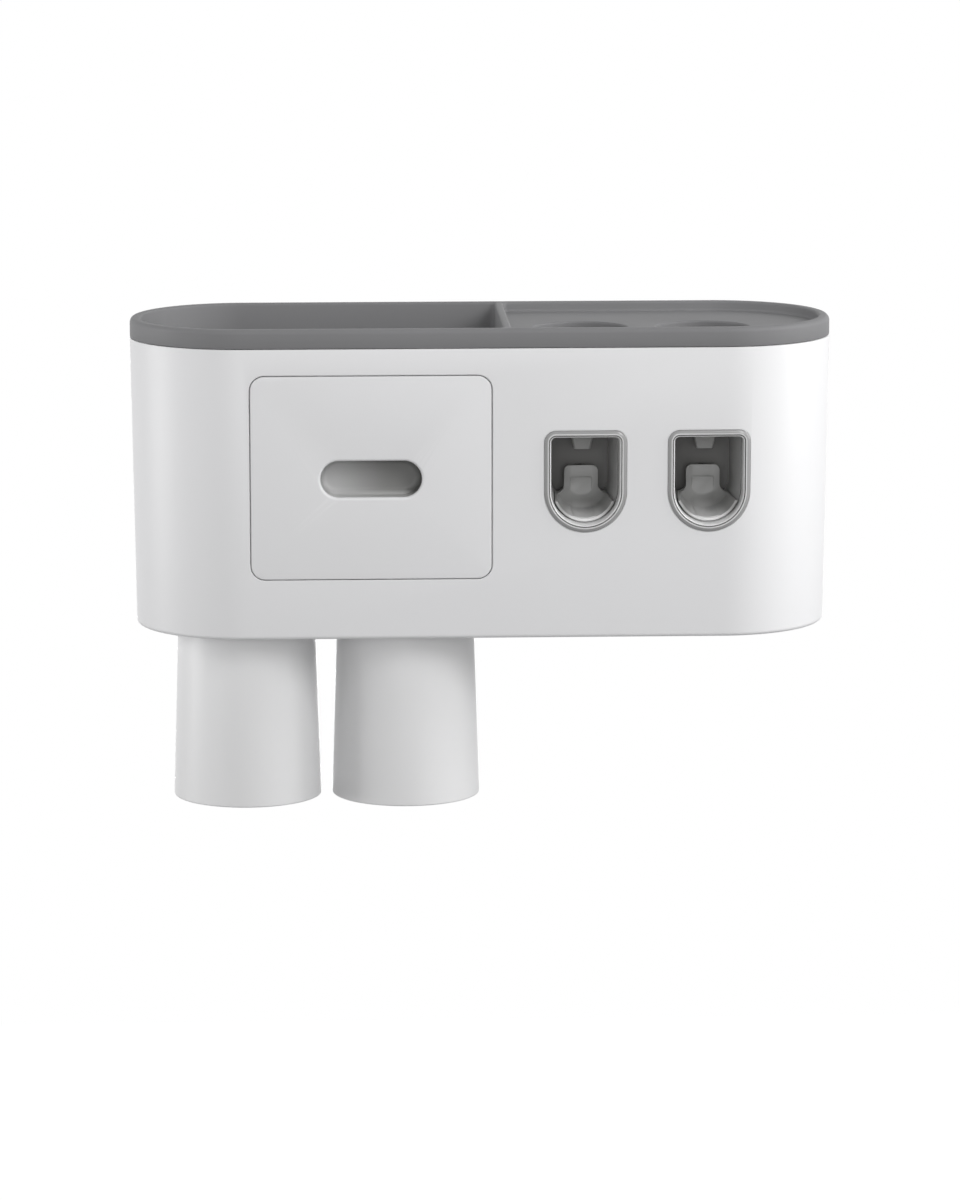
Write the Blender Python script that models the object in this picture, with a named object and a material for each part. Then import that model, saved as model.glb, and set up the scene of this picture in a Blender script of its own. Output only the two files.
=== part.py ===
# Wall-hung toothpaste dispenser: a white tub with a lift-off tray, a drawer, two
# push-paddle squeezers, two magnetic cups and a brush rack.
# Metres, +Z up. The wall is the plane y = 0, the front faces -Y, and the origin is the
# middle of the back face.
import math

import bmesh
import bpy
from mathutils import Matrix, Vector

MM = 0.001

# Whole body, which is as wide, deep and high as what it holds
END_FLAT = 4.2 * MM
RIM_HEIGHT = 9.3 * MM
DRAFT_INSET = 1.84 * MM
SHELL_WALL = 2.5 * MM
SHELL_FLOOR = 2.5 * MM
BASE_FILLET = 1.95 * MM
FIT_GAP = 0.3 * MM
OVERRUN = 2.0 * MM
SINK = 0.4 * MM

# Lift-off tray
RIM_LAND = 5.3 * MM
RIM_FILLET = 2.35 * MM
EDGE_ROUND = 1.2 * MM
FLOOR_ROUND = 1.6 * MM
BIN_DEPTH = 16.5 * MM
SHELF_DEPTH = 5.0 * MM
DIVIDER_PAST = 7.85 * MM
DIVIDER_WIDTH = 3.8 * MM
DIVIDER_CORNER = 3.0 * MM
TRAY_WALL = 1.8 * MM
SKIRT_DEPTH = 4.5 * MM
WELL_RADIUS = 22.5 * MM
WELL_COLLAR = 9.0 * MM

# Drawer and the bay it runs in
DRAWER_MARGIN = 58.15 * MM
DRAWER_BASE = 29.4 * MM
DRAWER_WIDTH = 115.2 * MM
DRAWER_HEIGHT = 98.1 * MM
DRAWER_CORNER = 6.8 * MM
DRAWER_SEAM = 0.45 * MM
PANEL_THICK = 2.4 * MM
PANEL_EDGE = 0.5 * MM
SLOT_WIDTH = 48.6 * MM
SLOT_HEIGHT = 17.6 * MM
SLOT_DROP = 0.55 * MM
SLOT_LIP = 1.3 * MM
SLOT_DEPTH = 11.5 * MM
SLOT_WALL = 1.5 * MM
SLOT_ROUND = 3.2 * MM
BOX_MARGIN = 2.6 * MM
BOX_BACK = 20.8 * MM
BOX_WALL = 1.8 * MM
BOX_TOP_DROP = 12.0 * MM
BOX_CORNER = 4.0 * MM
BAY_GAP = 0.7 * MM
BAY_WALL = 1.6 * MM
BAY_CORNER = 1.0 * MM
BAY_SPARE = 4.0 * MM
BAY_FLANGE = 3.5 * MM
POST_MARGIN = 15.6 * MM
POST_RADIUS = 2.9 * MM
POST_LENGTH = 6.0 * MM

# Squeezers, measured from each one's own axis plane
WINDOW_PAST = 25.25 * MM
WINDOW_MARGIN = 42.7 * MM
WINDOW_DROP = 49.4 * MM
WINDOW_HALF = 19.7 * MM
WINDOW_RISE = 29.3 * MM
WINDOW_CORNER = 5.5 * MM
BEZEL_PROUD = 1.0 * MM
BEZEL_EDGE = 0.35 * MM
BEZEL_BEVEL = 1.5 * MM
BEZEL_RIDGE = 0.6 * MM
BEZEL_GROOVE = 0.45 * MM
BEZEL_LIP = 0.75 * MM
BEZEL_RECESS = 0.8 * MM
COLLAR_OUT = 2.0 * MM
COLLAR_BACK = 7.5 * MM
CAVITY_MOUTH = 3.7 * MM
CAVITY_BACK = 5.8 * MM
CAVITY_DEPTH = 51.5 * MM
HOUSING_WALL = 1.8 * MM
MOUTH_DEPTH = 5.0 * MM

TRAVEL = 9.0 * MM
ROD_RISE = 1.7 * MM
ROD_RADIUS = 3.9 * MM
TIP_RADIUS = 3.0 * MM
TIP_LENGTH = 2.2 * MM
PADDLE_THICK = 2.0 * MM
PADDLE_CLEAR = 2.0 * MM
TAB_MARGIN = 11.55 * MM
TAB_RISE = 7.0 * MM
TAB_CORNER = 2.6 * MM
FLARE_DROP = 2.2 * MM
FLARE_RADIUS = 3.6 * MM
SCOOP_RADIUS = 9.0 * MM
SCOOP_WALL = 1.2 * MM
SCOOP_DEPTH = 6.7 * MM
PADDLE_GAP = 0.75 * MM
PAD_MARGIN = 2.85 * MM
PAD_DROP = 5.6 * MM
PAD_HEIGHT = 8.9 * MM
PAD_RAISE = 0.5 * MM

PUMP_RADIUS = 12.7 * MM
PUMP_WALL = 1.8 * MM
PUMP_LENGTH = 27.0 * MM
REAR_ROOM = 32.7 * MM
PLUNGER_THICK = 4.2 * MM
PLUNGER_RIM = 2.0 * MM
PLUNGER_GAP = 0.4 * MM
COVER_THICK = 2.0 * MM
COVER_SPIGOT = 2.3 * MM
COLLAR_RADIUS = 6.0 * MM
COLLAR_LENGTH = 4.0 * MM
BLADDER_MARGIN = 1.5 * MM
BLADDER_FOLD = 2.0 * MM
BLADDER_WALL = 1.1 * MM
BLADDER_FOLDS = 3
BLADDER_SIDES = 10
NECK_RADIUS = 3.9 * MM
NECK_BORE = 2.2 * MM
NECK_OUT = 4.2 * MM
SPRING_MARGIN = 2.0 * MM
SPRING_WIRE = 0.9 * MM
SPRING_CURLS = 4
SPRING_STEPS = 8
PIPE_RADIUS = 3.5 * MM
PIPE_BORE = 2.0 * MM
PIPE_BEND = 7.0 * MM
PIPE_STEPS = 3
PIPE_STRAIGHT = 2.4 * MM

MANIFOLD_HALF = 10.0 * MM
MANIFOLD_RISE = 11.4 * MM
MANIFOLD_NOSE = 7.0 * MM
MANIFOLD_TAIL = 15.0 * MM
PASSAGE_RISE = 2.4 * MM
PASSAGE_RADIUS = 2.2 * MM
TUBE_DEPTH = 46.0 * MM
SOCKET_RADIUS = 7.0 * MM
SOCKET_DEPTH = 4.5 * MM
SOCKET_FLANGE = 10.0 * MM
SOCKET_LIP = 2.0 * MM
SOCKET_HEIGHT = 8.0 * MM
SOCKET_BORE = 4.0 * MM
SOCKET_MOUTH = 6.4 * MM
VALVE_RADIUS = 3.9 * MM
VALVE_SEAT = 2.1 * MM
VALVE_THICK = 0.9 * MM
VALVE_STEM = 1.0 * MM

NOZZLE_FORWARD = 14.0 * MM
NOZZLE_TIP_DROP = 12.9 * MM
NOZZLE_TIP_HALF = 4.05 * MM
NOZZLE_TAPER = 1.4 * MM
NOZZLE_TOP_DROP = 5.7 * MM
NOZZLE_CORNER = 1.1 * MM
NOZZLE_SPIGOT = 4.0 * MM
NOZZLE_BORE = 2.9 * MM
DUCKBILL_RADIUS = 2.5 * MM
DUCKBILL_LENGTH = 6.0 * MM
DUCKBILL_TIP = 0.5 * MM

EAR_BACK = 7.0 * MM
EAR_RISE = 3.7 * MM
EAR_HALF = 4.6 * MM
EAR_THICK = 2.0 * MM
EAR_SPACE = 1.9 * MM

# Cups and the magnets that hold them
CUP_MARGIN = 19.1 * MM
CUP_SPACE = 5.3 * MM
CUP_FORWARD = 5.2 * MM
CUP_HEIGHT = 85.1 * MM
CUP_BASE_RADIUS = 33.5 * MM
CUP_MOUTH_RADIUS = 36.2 * MM
CUP_WALL = 1.8 * MM
CUP_BASE = 5.4 * MM
CUP_FILLET = 2.2 * MM
CUP_LIP = 0.6 * MM
DISC_RADIUS = 15.0 * MM
DISC_THICK = 2.0 * MM
CAP_THICK = 0.8 * MM
MAGNET_RADIUS = 14.0 * MM
MAGNET_THICK = 4.0 * MM
RING_WALL = 1.8 * MM
RING_HEIGHT = 5.2 * MM
COVER_RIM = 1.5 * MM
COVER_PLUG = 1.0 * MM

# Brush rack and hood
BRUSH_COUNT = 5
BRUSH_MARGIN = 15.3 * MM
BRUSH_ENTRY = 20.21 * MM
HOOD_GAP = 0.45 * MM
HOOD_PAST = 2.65 * MM
HOOD_MARGIN = 19.5 * MM
HOOD_DROP = 6.4 * MM
HOOD_SIDE = 27.81 * MM
HOOD_INSET = 14.4 * MM
HOOD_WALL = 1.6 * MM
HOOD_CORNER = 6.0 * MM
LEDGE = 4.0 * MM
LEDGE_BACK = 10.0 * MM
RACK_THICK = 3.0 * MM
NOTCH_DEPTH = 17.0 * MM
NOTCH_WIDTH = 7.0 * MM
FINGER_ROUND = 2.4 * MM
RACK_SCREW_MARGIN = 20.5 * MM
RACK_BOSS_HEIGHT = 10.0 * MM

# Wall hangers
HANGER_MARGIN = 55.0 * MM
HANGER_DROP = 2.7 * MM
HANGER_SIZE = 60.0 * MM
HANGER_CORNER = 6.0 * MM
HANGER_THICK = 1.5 * MM
FOAM_THICK = 0.8 * MM
POCKET_GAP = 2.0 * MM
POCKET_FLOOR = 2.5 * MM
STUD_NECK = 3.0 * MM
STUD_HEAD = 5.6 * MM
STUD_HEAD_THICK = 1.8 * MM
STUD_RISE = 2.0 * MM
KEYHOLE_RADIUS = 6.6 * MM
KEYHOLE_DROP = 10.0 * MM

# Screws
SCREW_RADIUS = 1.3 * MM
SCREW_HEAD = 3.0 * MM
SCREW_HEAD_THICK = 1.1 * MM
SCREW_LENGTH = 9.0 * MM
CROSS_WIDTH = 0.8 * MM
CROSS_DEPTH = 0.6 * MM
BOSS_RADIUS = 4.0 * MM
COUNTERBORE = 1.3 * MM
BAY_SCREW_FRONT = 21.0 * MM
BAY_SCREW_BACK = 32.0 * MM

QUARTER_STEPS = 8
CORNER_STEPS = 4
ROUND_STEPS = 3
WINDOW_STEPS = 12
BIG_CIRCLE_STEPS = 32
CIRCLE_STEPS = 14
SMALL_CIRCLE_STEPS = 8
WELL_STEPS = 24
PLAIN_STEPS = 2
CHAMFER_STEPS = 1
PIPE_SIDES = 8
SMOOTH_ANGLE = math.radians(35.0)

EAR_X = WINDOW_HALF - COLLAR_OUT + 2 * FIT_GAP + HOUSING_WALL + BOSS_RADIUS
SQUEEZER_PITCH = 2 * (EAR_X + EAR_HALF) + EAR_SPACE
BODY_WIDTH = DRAWER_MARGIN + DRAWER_WIDTH + WINDOW_PAST + 2 * WINDOW_HALF + SQUEEZER_PITCH + WINDOW_MARGIN
BODY_DEPTH = CAVITY_DEPTH + HOUSING_WALL + PUMP_LENGTH + REAR_ROOM
BODY_HEIGHT = DRAWER_BASE + DRAWER_HEIGHT + BAY_FLANGE + BAY_GAP + TRAY_WALL + BIN_DEPTH
END_RADIUS = (BODY_DEPTH - END_FLAT) / 2
LEFT_END, RIGHT_END = -BODY_WIDTH / 2, BODY_WIDTH / 2
TOP_Z = BODY_HEIGHT / 2
BASE_Z = -BODY_HEIGHT / 2
SHELL_TOP = TOP_Z - RIM_HEIGHT - FIT_GAP / 2
FLOOR_Z = BASE_Z + SHELL_FLOOR
DRAWER_X = LEFT_END + DRAWER_MARGIN + DRAWER_WIDTH / 2
DRAWER_Z = BASE_Z + DRAWER_BASE + DRAWER_HEIGHT / 2
DRAWER_RIGHT = DRAWER_X + DRAWER_WIDTH / 2
DIVIDER_X = DRAWER_RIGHT + DIVIDER_PAST
POST_SPREAD = DRAWER_WIDTH / 2 - POST_MARGIN
LEFT_WINDOW_X = DRAWER_RIGHT + WINDOW_PAST + WINDOW_HALF
SQUEEZER_X = (LEFT_WINDOW_X, LEFT_WINDOW_X + SQUEEZER_PITCH)
WINDOW_TOP = TOP_Z - WINDOW_DROP
WINDOW_CENTRE = WINDOW_TOP - WINDOW_RISE
TUBE_Y = -BODY_DEPTH + TUBE_DEPTH
NOZZLE_Y = TUBE_Y - NOZZLE_FORWARD
NOZZLE_TIP_Z = WINDOW_TOP - NOZZLE_TIP_DROP
NOZZLE_TOP_Z = WINDOW_TOP - NOZZLE_TOP_DROP
PASSAGE_Z = WINDOW_TOP + PASSAGE_RISE
MANIFOLD_TOP = WINDOW_TOP + MANIFOLD_RISE
MANIFOLD_BACK = TUBE_Y + MANIFOLD_TAIL
ROD_Z = WINDOW_CENTRE + ROD_RISE
TAB_TOP = WINDOW_CENTRE + TAB_RISE
FLARE_Z = WINDOW_CENTRE - FLARE_DROP
TAB_HALF = WINDOW_HALF - TAB_MARGIN
PAD_HALF = TAB_HALF - PAD_MARGIN
PADDLE_DEPTH = CAVITY_DEPTH - PADDLE_THICK - TRAVEL - PADDLE_CLEAR
SPRING_RADIUS = PUMP_RADIUS - SPRING_MARGIN
BLADDER_RADIUS = SPRING_RADIUS - BLADDER_MARGIN
BLADDER_WAIST = BLADDER_RADIUS - BLADDER_FOLD
CUP_REACH = max(CUP_BASE_RADIUS, CUP_MOUTH_RADIUS)
LEFT_CUP_X = LEFT_END + CUP_MARGIN + CUP_REACH
CUP_X = (LEFT_CUP_X, LEFT_CUP_X + 2 * CUP_REACH + CUP_SPACE)
CUP_Y = -BODY_DEPTH / 2 - CUP_FORWARD
HOOD_LEFT = DRAWER_RIGHT + BAY_FLANGE + HOOD_PAST
HOOD_RIGHT = RIGHT_END - HOOD_MARGIN
HOOD_FRONT = BODY_DEPTH - DRAFT_INSET - SHELL_WALL - HOOD_GAP
HOOD_NOSE = END_RADIUS - HOOD_INSET
HOOD_BACK = HOOD_FRONT - HOOD_NOSE - HOOD_SIDE
HOOD_TOP = WINDOW_CENTRE - WINDOW_HALF - HOOD_DROP
BRUSH_X = (HOOD_LEFT + HOOD_RIGHT) / 2
BRUSH_PITCH = (HOOD_RIGHT - HOOD_LEFT - 2 * BRUSH_MARGIN) / (BRUSH_COUNT - 1)
RACK_FRONT = HOOD_FRONT - BRUSH_ENTRY
NOTCH_Y = NOTCH_DEPTH - RACK_FRONT
RACK_SCREW_SPREAD = (HOOD_RIGHT - HOOD_LEFT) / 2 - RACK_SCREW_MARGIN
HANGER_X = RIGHT_END - HANGER_MARGIN - HANGER_SIZE / 2
HANGER_Z = TOP_Z - BIN_DEPTH - TRAY_WALL - HANGER_DROP - 2 * POCKET_GAP - HANGER_SIZE / 2
EAR_Z = WINDOW_CENTRE + EAR_RISE
BAY_SCREW_X = sum(CUP_X) / 2
BAY_SCREW_Y = (-BODY_DEPTH + BAY_SCREW_FRONT, -BAY_SCREW_BACK)
SCREW_HOLE = SCREW_RADIUS + FIT_GAP
PILOT_RADIUS = SCREW_RADIUS + FIT_GAP / 2
RIGHT_ANGLE = math.pi / 2
HOOD_STEPS = (ROUND_STEPS, QUARTER_STEPS, ROUND_STEPS, ROUND_STEPS)
BIN_STEPS = (QUARTER_STEPS, ROUND_STEPS, ROUND_STEPS, QUARTER_STEPS)
SHELF_STEPS = (ROUND_STEPS, QUARTER_STEPS, QUARTER_STEPS, ROUND_STEPS)


def clear_scene():
    for item in list(bpy.data.objects):
        bpy.data.objects.remove(item, do_unlink=True)


def make_material(name, colour, roughness, metallic=0.0):
    made = bpy.data.materials.new(name)
    made.use_nodes = True
    shader = made.node_tree.nodes["Principled BSDF"]
    shader.inputs["Base Color"].default_value = (*colour, 1.0)
    shader.inputs["Roughness"].default_value = roughness
    shader.inputs["Metallic"].default_value = metallic
    made.diffuse_color = (*colour, 1.0)
    return made


# Placing and joining

def add_empty(name, place, parent=None):
    empty = bpy.data.objects.new(name, None)
    empty.location = place
    empty.parent = parent
    bpy.context.scene.collection.objects.link(empty)
    return empty


def add_object(name, bm, parent=None, material=None, place=(0.0, 0.0, 0.0)):
    bmesh.ops.recalc_face_normals(bm, faces=bm.faces)
    mesh = bpy.data.meshes.new(name)
    bm.to_mesh(mesh)
    bm.free()
    mesh.shade_smooth()
    mesh.set_sharp_from_angle(angle=SMOOTH_ANGLE)
    return add_copy(name, mesh, parent, material, place)


def add_copy(name, mesh, parent=None, material=None, place=(0.0, 0.0, 0.0)):
    made = bpy.data.objects.new(name, mesh)
    made.location = place
    made.parent = parent
    if material and not mesh.materials:
        mesh.materials.append(material)
    bpy.context.scene.collection.objects.link(made)
    return made


def boolean(target, tool_mesh, operation, name):
    tool = add_object(f"{target.name}_{name}", tool_mesh, target.parent, None, target.location)
    tool.hide_render = True
    tool.display_type = "WIRE"
    modifier = target.modifiers.new(name, "BOOLEAN")
    modifier.operation = operation
    modifier.solver = "EXACT"
    modifier.object = tool
    return tool


def cut(target, tool_mesh, name):
    return boolean(target, tool_mesh, "DIFFERENCE", name)


def fuse(target, tool_mesh, name):
    return boolean(target, tool_mesh, "UNION", name)


# Outlines, as lists of 2D points

def arc(centre, radius, start, end, steps):
    return [
        (
            centre[0] + radius * math.cos(start + (end - start) * i / steps),
            centre[1] + radius * math.sin(start + (end - start) * i / steps),
        )
        for i in range(steps + 1)
    ]


def circle(radius, steps=CIRCLE_STEPS, centre=(0.0, 0.0)):
    return arc(centre, radius, 0.0, 2 * math.pi, steps)[:-1]


def cornered(low, high, radii, steps):
    """A rectangle with a radius and a step count for each corner, counter-clockwise from low."""
    (x0, y0), (x1, y1) = low, high
    a, b, c, d = radii
    points = arc((x0 + a, y0 + a), a, 2 * RIGHT_ANGLE, 3 * RIGHT_ANGLE, steps[0])
    points += arc((x1 - b, y0 + b), b, 3 * RIGHT_ANGLE, 4 * RIGHT_ANGLE, steps[1])
    points += arc((x1 - c, y1 - c), c, 0.0, RIGHT_ANGLE, steps[2])
    points += arc((x0 + d, y1 - d), d, RIGHT_ANGLE, 2 * RIGHT_ANGLE, steps[3])
    return points


def rounded(half_width, half_height, radius, centre=(0.0, 0.0), steps=ROUND_STEPS):
    low = (centre[0] - half_width, centre[1] - half_height)
    high = (centre[0] + half_width, centre[1] + half_height)
    return cornered(low, high, (radius,) * 4, (steps,) * 4)


def body_share(z):
    return (SHELL_TOP - z) / (SHELL_TOP - BASE_Z)


def body_outline(z, inset):
    """The stadium plan of the body at a height, moved in by inset."""
    narrow = DRAFT_INSET * max(body_share(z), 0.0)
    half = BODY_WIDTH / 2 - narrow - inset
    radius = END_RADIUS - narrow / 2 - inset
    low, high = (-half, -BODY_DEPTH + narrow + inset), (half, -inset)
    return cornered(low, high, (radius,) * 4, (QUARTER_STEPS,) * 4)


def front_y(z):
    return -BODY_DEPTH + DRAFT_INSET * body_share(z)


def skin_y(x, z):
    """The front skin's place at x, also where it curves round the ends."""
    narrow = DRAFT_INSET * body_share(z)
    radius = END_RADIUS - narrow / 2
    past = max(abs(x) - (BODY_WIDTH / 2 - narrow - radius), 0.0)
    return front_y(z) + radius - math.sqrt(radius**2 - past**2)


def window_outline(inset):
    """The D of a squeezer window: flat top, round bottom, in x and z."""
    half = WINDOW_HALF - inset
    top = WINDOW_TOP - inset
    radius = max(WINDOW_CORNER - inset, PANEL_EDGE)
    points = arc((0.0, WINDOW_CENTRE), half, 2 * RIGHT_ANGLE, 4 * RIGHT_ANGLE, WINDOW_STEPS)
    points += arc((half - radius, top - radius), radius, 0.0, RIGHT_ANGLE, ROUND_STEPS)
    points += arc((radius - half, top - radius), radius, RIGHT_ANGLE, 2 * RIGHT_ANGLE, ROUND_STEPS)
    return points


# Solids

def loft(loops, ring=False):
    """Skin through loops of equal length; a ring closes on itself, else the ends are capped."""
    bm = bmesh.new()
    rows = [[bm.verts.new(point) for point in loop] for loop in loops]
    pairs = list(zip(rows, rows[1:]))
    if ring:
        pairs.append((rows[-1], rows[0]))
    for low, high in pairs:
        for i in range(len(low)):
            j = (i + 1) % len(low)
            bm.faces.new((low[i], low[j], high[j], high[i]))
    if not ring:
        bm.faces.new(list(reversed(rows[0])))
        bm.faces.new(rows[-1])
    bmesh.ops.recalc_face_normals(bm, faces=bm.faces)
    return bm


def at_z(points, z):
    return [(x, y, z) for x, y in points]


def at_y(points, y):
    return [(x, y, z) for x, z in points]


def leaned(points, depth, middle=0.0):
    """An outline in x and z laid on the front skin, set back by depth, with x counted from middle."""
    return [(x, skin_y(x + middle, z) + depth, z) for x, z in points]


def prism_z(points, low, high):
    return loft([at_z(points, low), at_z(points, high)])


def prism_y(points, front, back):
    return loft([at_y(points, front), at_y(points, back)])


def prism_x(points, left, right):
    return loft([[(x, y, z) for y, z in points] for x in (left, right)])


def turned(profile, steps=CIRCLE_STEPS, ring=False, along_y=False, centre=(0.0, 0.0, 0.0)):
    """A profile of (radius, height) turned about Z, or about Y; a ring keeps its bore open."""
    bm = loft([at_z(circle(radius, steps), height) for radius, height in profile], ring)
    if along_y:
        bmesh.ops.rotate(bm, verts=bm.verts, cent=(0, 0, 0), matrix=Matrix.Rotation(-RIGHT_ANGLE, 3, "X"))
    bmesh.ops.translate(bm, verts=bm.verts, vec=centre)
    return bm


def rod(radius, low, high, centre=(0.0, 0.0), steps=CIRCLE_STEPS):
    return prism_z(circle(radius, steps, centre), low, high)


def small_rod_y(radius, start, length, x, z):
    profile = [(radius, 0.0), (radius, length)]
    return turned(profile, SMALL_CIRCLE_STEPS, along_y=True, centre=(x, start, z))


def merged(*parts):
    """Several separate solids as one mesh."""
    whole = bmesh.new()
    for part in parts:
        mesh = bpy.data.meshes.new("merging")
        part.to_mesh(mesh)
        part.free()
        whole.from_mesh(mesh)
        bpy.data.meshes.remove(mesh)
    return whole


def moved(bm, x=0.0, y=0.0, z=0.0):
    bmesh.ops.translate(bm, verts=bm.verts, vec=(x, y, z))
    return bm


def quarter(radius, steps=ROUND_STEPS):
    """Steps of a quarter round as (inset, rise) from its foot to its head."""
    angles = [RIGHT_ANGLE * i / steps for i in range(steps + 1)]
    return [(radius * (1 - math.sin(a)), radius * (1 - math.cos(a))) for a in angles]


# White tub

def shell_mesh():
    loops = [at_z(body_outline(BASE_Z + rise, inset), BASE_Z + rise) for inset, rise in quarter(BASE_FILLET)]
    loops.append(at_z(body_outline(SHELL_TOP, 0.0), SHELL_TOP))
    loops.append(at_z(body_outline(SHELL_TOP, SHELL_WALL), SHELL_TOP))
    loops.append(at_z(body_outline(FLOOR_Z, SHELL_WALL), FLOOR_Z))
    return loft(loops)


def hanger_reach():
    return FOAM_THICK + HANGER_THICK + 2 * FIT_GAP


def hanger_outline(side, grow):
    half = HANGER_SIZE / 2 + grow
    return rounded(half, half, HANGER_CORNER, (side * HANGER_X, HANGER_Z), PLAIN_STEPS)


def keyhole_outline(side):
    """A round hole with a narrow slot above it, in x and z."""
    x = side * HANGER_X
    top = HANGER_Z + STUD_RISE
    low = top - KEYHOLE_DROP
    neck = STUD_NECK + FIT_GAP
    spread = math.asin(neck / KEYHOLE_RADIUS)
    points = arc((x, top), neck, 0.0, 2 * RIGHT_ANGLE, 2 * ROUND_STEPS)
    points += arc((x, low), KEYHOLE_RADIUS, RIGHT_ANGLE + spread, 5 * RIGHT_ANGLE - spread, 4 * ROUND_STEPS)
    return points


def floor_opening():
    left, right = HOOD_LEFT + HOOD_WALL + LEDGE, HOOD_RIGHT - HOOD_WALL - LEDGE
    front, back = -HOOD_FRONT + HOOD_WALL + LEDGE, -HOOD_BACK - HOOD_WALL - LEDGE_BACK
    nose = HOOD_NOSE - HOOD_WALL - LEDGE
    radii = (HOOD_CORNER, nose, HOOD_CORNER, HOOD_CORNER)
    return cornered((left, front), (right, back), radii, HOOD_STEPS)


def rack_screw_places():
    y = -HOOD_BACK - HOOD_WALL - LEDGE_BACK / 2
    return [(BRUSH_X - RACK_SCREW_SPREAD, y), (BRUSH_X + RACK_SCREW_SPREAD, y)]


def floor_screw_places():
    return [(BAY_SCREW_X, y) for y in BAY_SCREW_Y] + rack_screw_places()


def ear_places():
    return [x + side * EAR_X for x in SQUEEZER_X for side in (-1, 1)]


def housing_front():
    """The housing's front plane, clear of the front wall where it leans and curves away most."""
    return skin_y(max(SQUEEZER_X) + WINDOW_HALF, WINDOW_CENTRE - WINDOW_HALF) + SHELL_WALL + FIT_GAP


def ear_front():
    return housing_front() + EAR_BACK


def shell_bosses():
    back = -SHELL_WALL + SINK
    solids = [
        prism_y(hanger_outline(side, 2 * POCKET_GAP), -hanger_reach() - POCKET_FLOOR, back)
        for side in (-1, 1)
    ]
    for x in CUP_X:
        inner = MAGNET_RADIUS + FIT_GAP
        outer = inner + RING_WALL
        low, high = FLOOR_Z - SINK, FLOOR_Z + RING_HEIGHT
        ring = [(outer, low), (outer, high), (inner, high), (inner, low)]
        solids.append(turned(ring, ring=True, centre=(x, CUP_Y, 0.0)))
    for x in ear_places():
        front = skin_y(abs(x) + BOSS_RADIUS, EAR_Z) + SINK
        profile = [(BOSS_RADIUS, 0.0), (BOSS_RADIUS, ear_front() - FIT_GAP - front)]
        solids.append(turned(profile, along_y=True, centre=(x, front, EAR_Z)))
    return merged(*solids)


def shell_cuts():
    panel = rounded(
        DRAWER_WIDTH / 2 + DRAWER_SEAM,
        DRAWER_HEIGHT / 2 + DRAWER_SEAM,
        DRAWER_CORNER + DRAWER_SEAM,
        (DRAWER_X, DRAWER_Z),
        CORNER_STEPS,
    )
    through = SHELL_WALL + OVERRUN
    solids = [loft([leaned(panel, -OVERRUN), leaned(panel, through)])]
    for x in SQUEEZER_X:
        wide = window_outline(-FIT_GAP)
        narrow = window_outline(COLLAR_OUT - FIT_GAP)
        steps = [(wide, -OVERRUN), (wide, BEZEL_RECESS), (narrow, BEZEL_RECESS), (narrow, through)]
        solids.append(moved(loft([leaned(points, depth, x) for points, depth in steps]), x=x))
    for side in (-1, 1):
        solids.append(prism_y(hanger_outline(side, POCKET_GAP), -hanger_reach(), OVERRUN))
    solids.append(prism_z(floor_opening(), BASE_Z - OVERRUN, FLOOR_Z + OVERRUN))
    for x, y in floor_screw_places():
        wide, narrow = SCREW_HEAD + FIT_GAP, SCREW_HOLE
        steps = [
            (wide, BASE_Z - OVERRUN),
            (wide, BASE_Z + COUNTERBORE),
            (narrow, BASE_Z + COUNTERBORE),
            (narrow, FLOOR_Z + OVERRUN),
        ]
        solids.append(turned(steps, SMALL_CIRCLE_STEPS, centre=(x, y, 0.0)))
    return merged(*solids)


def shell_small_cuts():
    solids = []
    for side in (-1, 1):
        deep = -hanger_reach() - POCKET_FLOOR - OVERRUN
        solids.append(prism_y(keyhole_outline(side), deep, -hanger_reach() + SINK))
    start = ear_front() + EAR_THICK + SCREW_HEAD_THICK - SCREW_LENGTH
    solids += [small_rod_y(PILOT_RADIUS, start, SCREW_LENGTH, x, EAR_Z) for x in ear_places()]
    return merged(*solids)


def build_shell(parent, white):
    shell = add_object("main_shell", shell_mesh(), parent, white)
    fuse(shell, shell_bosses(), "bosses")
    cut(shell, shell_cuts(), "openings")
    cut(shell, shell_small_cuts(), "keyholes_and_pilots")


# Lift-off tray

def bin_outline(grow):
    edge = RIM_LAND - grow
    half = BODY_WIDTH / 2 - edge
    end = END_RADIUS - edge
    corner = DIVIDER_CORNER + grow
    right = DIVIDER_X - DIVIDER_WIDTH / 2 + grow
    return cornered((-half, -BODY_DEPTH + edge), (right, -edge), (end, corner, corner, end), BIN_STEPS)


def shelf_outline(grow):
    edge = RIM_LAND - grow
    half = BODY_WIDTH / 2 - edge
    end = END_RADIUS - edge
    corner = DIVIDER_CORNER + grow
    left = DIVIDER_X + DIVIDER_WIDTH / 2 - grow
    return cornered((left, -BODY_DEPTH + edge), (half, -edge), (corner, end, end, corner), SHELF_STEPS)


def pocket(outline, floor_z):
    """A cutter with a rounded floor edge and a flared mouth, which rounds the edge it cuts."""
    loops = [at_z(outline(-inset), floor_z + rise) for inset, rise in quarter(FLOOR_ROUND, CHAMFER_STEPS)]
    for inset, rise in reversed(quarter(EDGE_ROUND)):
        loops.append(at_z(outline(inset), TOP_Z - rise))
    loops.append(at_z(outline(EDGE_ROUND), TOP_Z + OVERRUN))
    return loft(loops)


def rim_mesh():
    low = TOP_Z - RIM_HEIGHT + FIT_GAP / 2
    loops = [at_z(body_outline(TOP_Z, 0.0), low)]
    for inset, rise in reversed(quarter(RIM_FILLET)):
        loops.append(at_z(body_outline(TOP_Z, inset), TOP_Z - rise))
    return loft(loops)


def well_places():
    return [(x, TUBE_Y) for x in SQUEEZER_X]


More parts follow.
